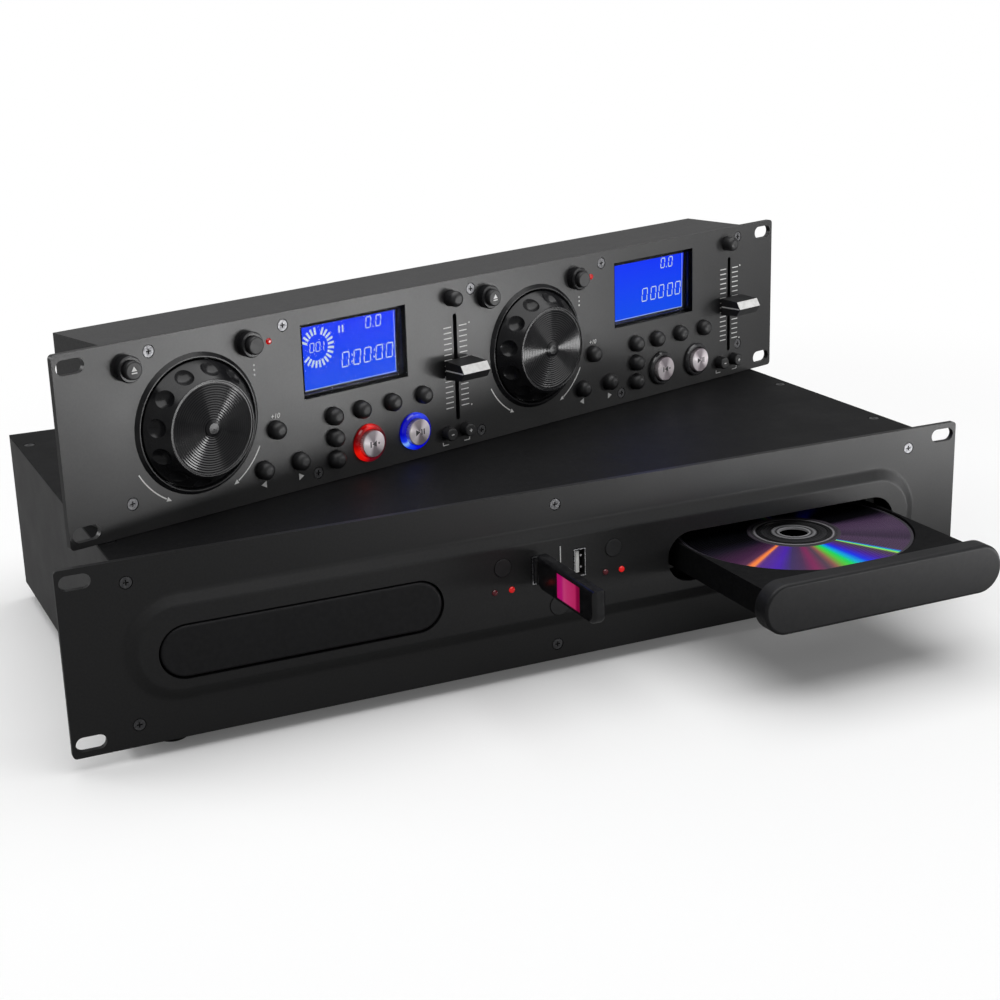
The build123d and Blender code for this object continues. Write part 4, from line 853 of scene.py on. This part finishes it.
def thicken(pieces, thickness):
    """Join flat pieces and give them a thickness in millimetres, in one extrusion."""
    clear_selection()
    for piece in pieces:
        piece.select_set(True)
    bpy.context.view_layer.objects.active = pieces[0]
    bpy.ops.object.transform_apply(location=True, rotation=True, scale=True)
    if len(pieces) > 1:
        bpy.ops.object.join()
    bpy.ops.object.mode_set(mode="EDIT")
    bpy.ops.mesh.select_all(action="SELECT")
    bpy.ops.mesh.extrude_region_move(TRANSFORM_OT_translate={"value": (0, 0, thickness * MM)})
    bpy.ops.mesh.select_all(action="SELECT")
    bpy.ops.mesh.normals_make_consistent(inside=False)
    bpy.ops.object.mode_set(mode="OBJECT")
    return pieces[0]


def lay_down(pieces, name, face, height, body, made, thickness=0.08):
    """Make one thick piece of flat ones and place it on a face, at a height in millimetres."""
    put(thicken(pieces, thickness), name, face, height, body, made)


def put(whole, name, face, height, body, made):
    """Place a piece drawn flat, freeze its place into its mesh and let it ride on a body."""
    clear_selection()
    whole.select_set(True)
    bpy.context.view_layer.objects.active = whole
    whole.name = name
    whole.data.name = name
    whole.matrix_world = face @ Matrix.Translation((0, 0, height * MM)) @ whole.matrix_world
    bpy.ops.object.transform_apply(location=True, rotation=True, scale=True)
    whole.data.materials.clear()
    whole.data.materials.append(made)
    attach(whole, body)
    print(name, len(whole.data.polygons), "faces, rides on", body)


# %% [markdown]
# The ink is white, slightly raised and not quite even, as screen printing is.

# %% Ink
ink = detailed(
    "white_screen_ink", (0.75, 0.75, 0.74), 0.55, specular=0.3,
    shades=(1200, (0.66, 0.66, 0.65), (0.80, 0.80, 0.79)),
)
dark_ink = detailed(
    "dark_engraving", (0.05, 0.045, 0.05), 0.6, specular=0.3,
    shades=(1200, (0.035, 0.03, 0.035), (0.07, 0.065, 0.07)),
)
INK_BED = -0.02

# %% [markdown]
# The control panel's print repeats on both decks: scale ticks beside the fader, arrows round the
# jog wheel, triangles under the track buttons, three dots for the jog modes and corner lines under
# the bend buttons. It is drawn once as flat shapes and inked in one go.

# %% Print on the control panel
JOG = (-63.2, 0.3)
ARROW_RADIUS = 37.6
TICKS, TICK_TOP, TICK_PITCH = 16, 20.3, 2.83
TICK_LENGTH, TICK_STROKE = 5.2, 0.5
print_parts = []
for deck in decks.values():
    for step in range(TICKS):
        level = TICK_TOP - TICK_PITCH * step
        print_parts.append(bar(deck + 89.7, level, TICK_LENGTH, TICK_STROKE))
        print_parts.append(bar(deck + 100.2, level, TICK_LENGTH, TICK_STROKE))
    for level in (20.9, -22.9):
        print_parts.append(dot(deck + 104.6, level, 0.45, 12))
    print_parts.append(arc(deck + JOG[0], JOG[1], ARROW_RADIUS, 0.6, 209, 238))
    print_parts.append(arc(deck + JOG[0], JOG[1], ARROW_RADIUS, 0.6, 302, 331))
    for angle, flip in ((240, 0), (300, pi)):
        x = deck + JOG[0] + ARROW_RADIUS * cos(radians(angle))
        y = JOG[1] + ARROW_RADIUS * sin(radians(angle))
        print_parts.append(triangle(x, y, 2.2, 2.6, radians(angle) + flip))
    print_parts.append(triangle(deck - 28.6, -37.0, 3.4, 3.0, pi / 2))
    print_parts.append(triangle(deck - 7.4, -37.6, 3.4, 3.0, -pi / 2))
    for step in range(3):
        print_parts.append(dot(deck - 30.1, 22.0 - 2.3 * step, 0.5, 12))
    for side, start in ((-1, 84.0), (1, 102.3)):
        print_parts.append(bar(deck + start, -40.6, 0.45, 1.8))
        print_parts.append(bar(deck + start - side * 1.9, -41.4, 3.8, 0.45))
lay_down(print_parts, "control_panel_print", control_face, INK_BED, "controller", ink)

# %% [markdown]
# The skip button's number is a text object, drawn flat and turned into a mesh before it is inked.
# It could be built from bars like the other marks, but a font gives its curves for nothing.

# %% The number over the skip buttons
for side, deck in decks.items():
    clear_selection()
    bpy.ops.object.text_add(location=((deck - 20.1) * MM, -5.9 * MM, 0))
    label = bpy.context.object
    label.data.body = "+10"
    label.data.size = 3.4 * MM
    label.data.shear = 0.2
    label.data.align_x = "CENTER"
    label.data.extrude = 0
    bpy.ops.object.convert(target="MESH")
    lay_down([bpy.context.object], "skip_number_" + side, control_face, INK_BED, "controller", ink)

# %% [markdown]
# On the transport a thin white line stands between the two USB sockets. Two sprung contacts show
# in the free socket's gap, whose walls are painted black as shade.

# %% Print and contacts on the transport
lay_down([bar(0.9, 11.5, 0.5, 8.3)], "usb_divider_line", transport_face, 3 + INK_BED,
         "transport", ink)
contacts = [dot(11.4 + 1.35, 5.6 + level, 0.55, 16) for level in (-3.0, 3.0)]
lay_down(contacts, "usb_sprung_contacts", transport_face, 1.2, "transport", plated, 0.4)

# %% [markdown]
# Small symbols sit on some caps and ride with them: the open sign on the eject buttons, signs on
# the bend buttons, and dark signs on the cue and play caps. Each is a piece of its own, because a
# mark that is part of the panel's print would stay behind when its button is pressed.

# %% Symbols on the caps
EJECT_TOP, BEND_TOP, SPUN_TOP = 7.4, 4.8, 4.4
BEND_LEVEL = -35.2


def mark_cap(signs, name, top, body, made, thickness):
    """Lay signs on the top of a cap, to ride with it."""
    lay_down(signs, name, control_face, top + INK_BED, body, made, thickness)


for side, deck in decks.items():
    signs = [triangle(deck - 98.0, 33.1, 2.8, 2.2), bar(deck - 98.0, 31.5, 2.8, 0.55)]
    mark_cap(signs, "open_sign_" + side, EJECT_TOP, "eject_" + side, ink, 0.07)
    signs = [bar(deck + 86.9, BEND_LEVEL, 1.8, 0.45)]
    mark_cap(signs, "minus_sign_" + side, BEND_TOP, "bend_down_" + side, ink, 0.07)
    u = deck + 99.4
    signs = [bar(u, BEND_LEVEL, 1.8, 0.45), bar(u, BEND_LEVEL, 0.45, 1.8)]
    mark_cap(signs, "plus_sign_" + side, BEND_TOP, "bend_up_" + side, ink, 0.07)
    u, v = deck + PLAY[0], PLAY[1]
    signs = [triangle(u - 1.7, v, 3.2, 2.8, -pi / 2), bar(u + 1.2, v, 0.8, 3.0)]
    signs.append(bar(u + 2.7, v, 0.8, 3.0))
    mark_cap(signs, "play_sign_" + side, SPUN_TOP, "play_" + side, dark_ink, 0.06)
    u, v = deck + CUE[0], CUE[1]
    signs = [triangle(u + 0.6, v, 3.2, 2.8, pi / 2), bar(u - 2.1, v, 0.8, 3.0)]
    signs.append(dot(u + 3.0, v, 0.55, 12))
    mark_cap(signs, "cue_sign_" + side, SPUN_TOP, "cue_" + side, dark_ink, 0.06)


# %% [markdown]
# ## Display figures
# The figures are made of the usual straight strokes and lean slightly. Each stroke is a bar, moved
# sideways with its height, and laid on the blue panel as a thin light. A picture of the figures
# would be one plane less to draw, but it would blur in a close view.

# %% Figures
STROKES = {"0": "abcdef", "1": "bc"}
LEAN = 0.13
STROKE = 0.55
RING_MIDDLE, RING_RADIUS = (-19.3, 4.6), 8.3


def figure(character, x, y, width, height, stroke):
    """The strokes of one figure, by its centre."""
    half_w, half_h = width / 2, height / 2
    flat, tall = width - 0.8 * stroke, half_h - 0.9 * stroke
    layout = {
        "a": (0, half_h, flat, stroke), "d": (0, -half_h, flat, stroke),
        "b": (half_w, half_h / 2, stroke, tall), "c": (half_w, -half_h / 2, stroke, tall),
        "f": (-half_w, half_h / 2, stroke, tall), "e": (-half_w, -half_h / 2, stroke, tall),
    }
    made = []
    for key in STROKES[character]:
        dx, dy, length, thick = layout[key]
        made.append(bar(x + dx + LEAN * dy, y + dy, length, thick))
    return made


figure_light = finish("figure_light", (0.05, 0.07, 0.10), 0.5, specular=0.1)
surface = figure_light.node_tree.nodes["Principled BSDF"]
surface.inputs["Emission Strength"].default_value = 0.7
feed(
    figure_light,
    ramp(figure_light, noise(figure_light, pattern_place(figure_light), 300),
         [(0.35, (0.62, 0.82, 0.90)), (0.65, (0.78, 0.92, 0.95))]),
    "Emission Color",
)


def show_figures(side, with_ring):
    """All lit figures of one display."""
    u, v = decks[side] + DISPLAY[0], DISPLAY[1]
    made = figure("0", u + 12.6, v + 12.0, 3.0, 5.4, STROKE)
    made += figure("0", u + 19.0, v + 12.0, 3.0, 5.4, STROKE)
    made.append(dot(u + 15.6, v + 9.4, 0.4, 8))
    made += [bar(u + 28.85, v, 0.22, 31.0), bar(u, v - 15.7, 57.5, 0.22)]
    for place in (-2.6, 4.6, 11.2, 18.6, 25.2):
        made += figure("0", u + place, v - 4.2, 4.0, 7.2, STROKE)
    if with_ring:
        for place in (1.2, 15.2):
            made.append(dot(u + place, v - 6.0, 0.45, 8))
            made.append(dot(u + place + 0.4, v - 2.6, 0.45, 8))
        made += [bar(u - 5.6, v + 11.4, 0.9, 3.6), bar(u - 3.4, v + 11.4, 0.9, 3.6)]
        for character, place in (("0", -22.6), ("0", -18.9), ("1", -16.6)):
            made += figure(character, u + place, v + 4.9, 2.4, 4.4, 0.4)
        for step in range(24):
            angle = radians(15 * step + 7)
            x = RING_MIDDLE[0] + RING_RADIUS * cos(angle)
            y = RING_MIDDLE[1] + RING_RADIUS * sin(angle)
            if x > -28.0 and step not in (5, 11, 12, 13):
                made.append(bar(u + x, v + y, 3.6, 1.15, angle))
    return made


for side in decks:
    lay_down(show_figures(side, side == "left"), "display_figures_" + side, control_face,
             INK_BED - SCREEN_DEPTH, "controller", figure_light, 0.06)

# %% [markdown]
# ## Jog wheels
# The face of each jog wheel is a disc with round grooves about a millimetre apart. They catch the
# light as one bright streak, so they have to be real slopes. The disc starts as one flat face, and
# each inset steps inwards and up or down, which cuts the grooves one by one.

# %% Grooved discs
groove_plastic = detailed(
    "grooved_disc_plastic", tone(0.010, 0.001), 0.15, specular=0.5,
    shades=(120, tone(0.008, 0.001), tone(0.013, 0.001)), gloss=(100, 0.13, 0.18),
)
GROOVES = 17
GROOVE_PITCH = 1.15
GROOVE_DEPTH = 0.18
GROOVED_RADIUS = 21.1
GROOVED_LEVEL = 12.53
for side, deck in decks.items():
    clear_selection()
    bpy.ops.mesh.primitive_circle_add(vertices=144, radius=GROOVED_RADIUS * MM, fill_type="NGON")
    disc = bpy.context.object
    bpy.ops.object.mode_set(mode="EDIT")
    for rise in GROOVES * (GROOVE_DEPTH, -GROOVE_DEPTH):
        bpy.ops.mesh.inset(thickness=GROOVE_PITCH / 2 * MM, depth=rise * MM)
    bpy.ops.object.mode_set(mode="OBJECT")
    bpy.ops.object.shade_smooth_by_angle(angle=radians(15))
    disc.matrix_world = Matrix.Translation(((deck + JOG[0]) * MM, JOG[1] * MM, 0))
    name = "jog_grooves_" + side
    put(disc, name, control_face, GROOVED_LEVEL, "jog_wheel_" + side, groove_plastic)


# %% [markdown]
# ## Cue and play caps
# The caps are spun aluminium. Spinning leaves fine rings, and the light then falls in bright and
# dark sectors round the middle. These sectors are painted reflections: bright and dark shades of the
# base colour, taken from the angle round each cap's own centre, since rings this fine would need
# more triangles than the rest of the player.

# %% Spun aluminium
RING_PITCH = 0.35 * MM


def spun_cap(name, u, v, shift):
    """Spun aluminium with painted bright and dark reflection sectors round one cap's centre."""
    made = finish(name, (0.7, 0.68, 0.69), 0.32, metal=0.6)
    centre = control_face @ Vector((u * MM, v * MM, 0))
    place = pattern_place(made, centre, YAW)
    angle, radius = angle_round(made, place, "X", "Z")
    # Painted reflection: bright and dark sectors by the angle round the cap's centre.
    reflection_sectors = stretch(made, wave(made, angle, 2.0, shift), 0.0, 1.0, -1.0, 1.0)
    feed(
        made,
        ramp(made, reflection_sectors, [(0.10, (0.22, 0.19, 0.21)), (0.45, (0.62, 0.56, 0.59)),
                             (0.85, (0.82, 0.76, 0.79))]),
        "Base Color",
    )
    rings = wave(made, radius, 2 * pi / RING_PITCH, 0)
    emboss(made, rings, 0.00002, 0.5)
    return made


for side, deck in decks.items():
    for key, (u, v) in (("cue", CUE), ("play", PLAY)):
        name = key + "_" + side
        parts[name].data.materials[0] = spun_cap("spun_cap_" + name, deck + u, v, 1.2)
        paint(name, button_plastic, lambda c, n: on_control(c).z < -0.5)


# %% [markdown]
# ## Faders
# A fader cap is black with a pale front bevel, and a thin pale line that runs round both ends along
# its middle, which shows where it stands on the scale. The bevel is a face of the solid and only
# needs paint, but the line has no faces of its own, so it is laid on as ink.

# %% Fader caps
cap_white = detailed(
    "fader_pale_bevel", (0.62, 0.62, 0.61), 0.35,
    shades=(400, (0.56, 0.56, 0.55), (0.68, 0.68, 0.67)),
)
FADER = (94.9, -1.2)


def pale_bevel(centre, normal):
    p = on_control(centre)
    return p.z > 13.5 and 0.15 < normal.z < 0.9 and normal.dot(OUT) > 0.3


LINE_LENGTH, LINE_WIDTH, LINE_LEVEL = 13.6, 0.7, 9.1
for side, deck in decks.items():
    name = "pitch_fader_" + side
    paint(name, cap_white, pale_bevel)
    for end, word in ((-1, "near"), (1, "far")):
        line = thicken([bar(0, 0, LINE_LENGTH, LINE_WIDTH)], 0.08)
        stand = Matrix.Rotation(end * pi / 2, 4, "Y")
        place = Vector((deck + FADER[0] + end * 8.96, FADER[1], LINE_LEVEL)) * MM
        line.matrix_world = Matrix.Translation(place) @ stand
        put(line, "fader_line_" + side + "_" + word, control_face, 0, name, cap_white)

# %% [markdown]
# ## Disc
# A disc has a clear hub and a mirror layer whose fine spiral splits the light into colours. The
# colours lie in rays, which are painted light: they are taken from the angle round the disc's
# centre, and they fade into a violet grey between the rays. The black sectors are a painted
# reflection of the dark drawer slot and panel that the disc mirrors. The rings round the hub come
# from the radius. A true grating would split the light by itself, but no shader here has one, so
# the rays are painted where a lamp puts them. Two ramps take turns, because one ramp holds no
# more than 32 stops.

# %% The disc
disc_mirror = finish("disc_mirror_layer", (0.05, 0.03, 0.07), 0.3, specular=0.3, coat=0.25)
DISC_CENTRE = Vector((DRAWER, -12.0, 4.0)) * MM
DISC_RADIUS = 60 * MM
place = pattern_place(disc_mirror, DISC_CENTRE)
angle, radius = angle_round(disc_mirror, place, "X", "Y")
turn = stretch(disc_mirror, angle, 0.0, 1.0, -pi, pi)
violet = (0.070, 0.040, 0.085)
dim_violet = (0.034, 0.020, 0.045)
black = (0.002, 0.002, 0.003)
# Painted reflections: coloured rays of split light, and black where the disc mirrors the dark slot.
colours = ramp(disc_mirror, turn, [
    (0.000, black), (0.030, (0.008, 0.006, 0.014)), (0.075, (0.05, 0.012, 0.05)),
    (0.092, (0.10, 0.03, 0.08)), (0.096, (1.0, 0.22, 0.06)), (0.102, (1.0, 0.28, 0.06)),
    (0.106, (0.10, 0.03, 0.22)), (0.134, (0.07, 0.015, 0.42)), (0.152, (0.05, 0.03, 0.12)),
    (0.170, (0.07, 0.03, 0.09)), (0.186, (0.22, 0.02, 0.10)), (0.205, (0.07, 0.05, 0.08)),
    (0.217, (0.30, 0.10, 0.08)), (0.230, (0.10, 0.55, 0.04)), (0.243, (0.0, 0.70, 0.12)),
    (0.254, (0.0, 0.40, 0.75)), (0.268, (0.0, 0.03, 0.85)), (0.290, (0.06, 0.01, 0.30)),
    (0.312, violet), (0.320, violet), (0.3235, (0.45, 0.85, 0.02)), (0.3275, (0.0, 0.80, 0.30)),
    (0.3310, (0.02, 0.15, 0.9)), (0.3345, violet),
])
far_colours = ramp(disc_mirror, turn, [
    (0.000, (0, 0, 0)), (0.376, violet), (0.392, dim_violet), (0.440, violet), (0.484, violet),
    (0.500, dim_violet), (0.516, black), (0.600, black), (0.622, (0.01, 0.01, 0.28)),
    (0.640, (0.01, 0.01, 0.20)), (0.655, black), (0.725, black), (0.738, (0.01, 0.03, 0.20)),
    (0.748, (0.16, 0.02, 0.02)), (0.757, (0.02, 0.16, 0.02)), (0.770, (0.0, 0.01, 0.05)),
    (0.785, black), (1.000, black),
])
past = stretch(disc_mirror, turn, 0.0, 1.0, 0.3395, 0.3405)


def blend_colours(made, amount, first, second):
    """The second colour laid over the first by an amount."""
    tree = made.node_tree
    mix = tree.nodes.new("ShaderNodeMix")
    mix.data_type = "RGBA"
    tree.links.new(amount, mix.inputs[0])
    tree.links.new(first, mix.inputs[6])
    tree.links.new(second, mix.inputs[7])
    return mix.outputs[2]


rays = blend_colours(disc_mirror, past, colours, far_colours)
share = stretch(disc_mirror, radius, 0.0, 1.0, 0.0, DISC_RADIUS)
zones = ramp(disc_mirror, share, [
    (0.0, (0, 0, 0)), (0.395, (0, 0, 0)), (0.40, (1, 1, 1)),
    (0.972, (1, 1, 1)), (0.978, (0, 0, 0)),
])
hub = ramp(disc_mirror, share, [
    (0.0, (0.01, 0.01, 0.011)), (0.135, (0.28, 0.28, 0.29)), (0.15, (0.02, 0.02, 0.021)),
    (0.18, (0.24, 0.24, 0.25)), (0.195, (0.012, 0.012, 0.013)), (0.27, (0.03, 0.03, 0.032)),
    (0.29, (0.012, 0.012, 0.013)), (0.325, (0.015, 0.015, 0.016)), (0.335, (0.30, 0.29, 0.31)),
    (0.35, (0.03, 0.03, 0.032)), (0.395, (0.06, 0.05, 0.065)), (0.98, (0.05, 0.045, 0.055)),
])
feed(disc_mirror, blend_colours(disc_mirror, zones, hub, rays), "Base Color")
rings = wave(disc_mirror, radius, 2 * pi / 0.0016, 0)
feed(disc_mirror, stretch(disc_mirror, rings, 0.26, 0.34, -1.0, 1.0), "Roughness")
parts["disc"].data.materials[0] = disc_mirror

# %% [markdown]
# ## Memory stick
# The stick is glossy black with a clear magenta window in its side, through which its chip shows
# as a darker block. Its plug is painted as dark, dull steel: painted shade for the socket's mouth
# that it sits in. The window is a face of the solid, so it is painted. A ramp along it gives the
# chip's darker block and painted light for the glow that the clear plastic carries, and the window
# also glows with that ramp as painted light, though no lamp is behind it.

# %% The stick
stick_black = detailed(
    "stick_black_plastic", tone(0.006, 0.001), 0.2, specular=0.5,
    shades=(250, tone(0.004, 0.001), tone(0.010, 0.001)), gloss=(200, 0.16, 0.26),
)
magenta = finish("stick_magenta_window", (0.6, 0.02, 0.15), 0.16, coat=0.5)
place = pattern_place(magenta, Vector((-USB_SIDE, -41.5, USB_LEVEL)) * MM)
split = magenta.node_tree.nodes.new("ShaderNodeSeparateXYZ")
magenta.node_tree.links.new(place, split.inputs[0])
window_colour_and_glow = ramp(magenta, stretch(magenta, split.outputs["Y"], 0.0, 1.0, -0.0120, 0.0120), [
    (0.00, (0.16, 0.0, 0.03)), (0.16, (0.26, 0.0, 0.05)), (0.24, (0.50, 0.02, 0.12)),
    (0.55, (0.56, 0.03, 0.16)), (0.70, (0.58, 0.05, 0.19)), (0.80, (0.48, 0.006, 0.17)),
    (1.00, (0.50, 0.003, 0.14)),
])
feed(magenta, window_colour_and_glow, "Base Color")
# Painted light: the window glows with its own colour, though no lamp is behind it.
feed(magenta, window_colour_and_glow, "Emission Color")
magenta.node_tree.nodes["Principled BSDF"].inputs["Emission Strength"].default_value = 0.55
parts["usb_stick"].data.materials[0] = stick_black
WINDOW_SIDE = -USB_SIDE - 3.0
STICK_LEVEL = 6.9
PLUG_END = 8.45


def in_stick_window(centre, normal):
    p = on_transport(centre)
    return abs(p.x - WINDOW_SIDE) < 0.1 and normal.x < -0.98 and abs(p.y - STICK_LEVEL) < 6.4


paint("usb_stick", magenta, in_stick_window)
# Painted shade: the plug is dark, dull steel for the socket's mouth that it sits in.
paint("usb_stick", dull_steel, lambda c, n: on_transport(c).z < PLUG_END)

# %% [markdown]
# ## Finish
# The box of the solids, as measured when they were loaded, is printed once more.

# %% Measure and finish
print("solids", [round(c, 4) for corner in solids_box for c in corner])
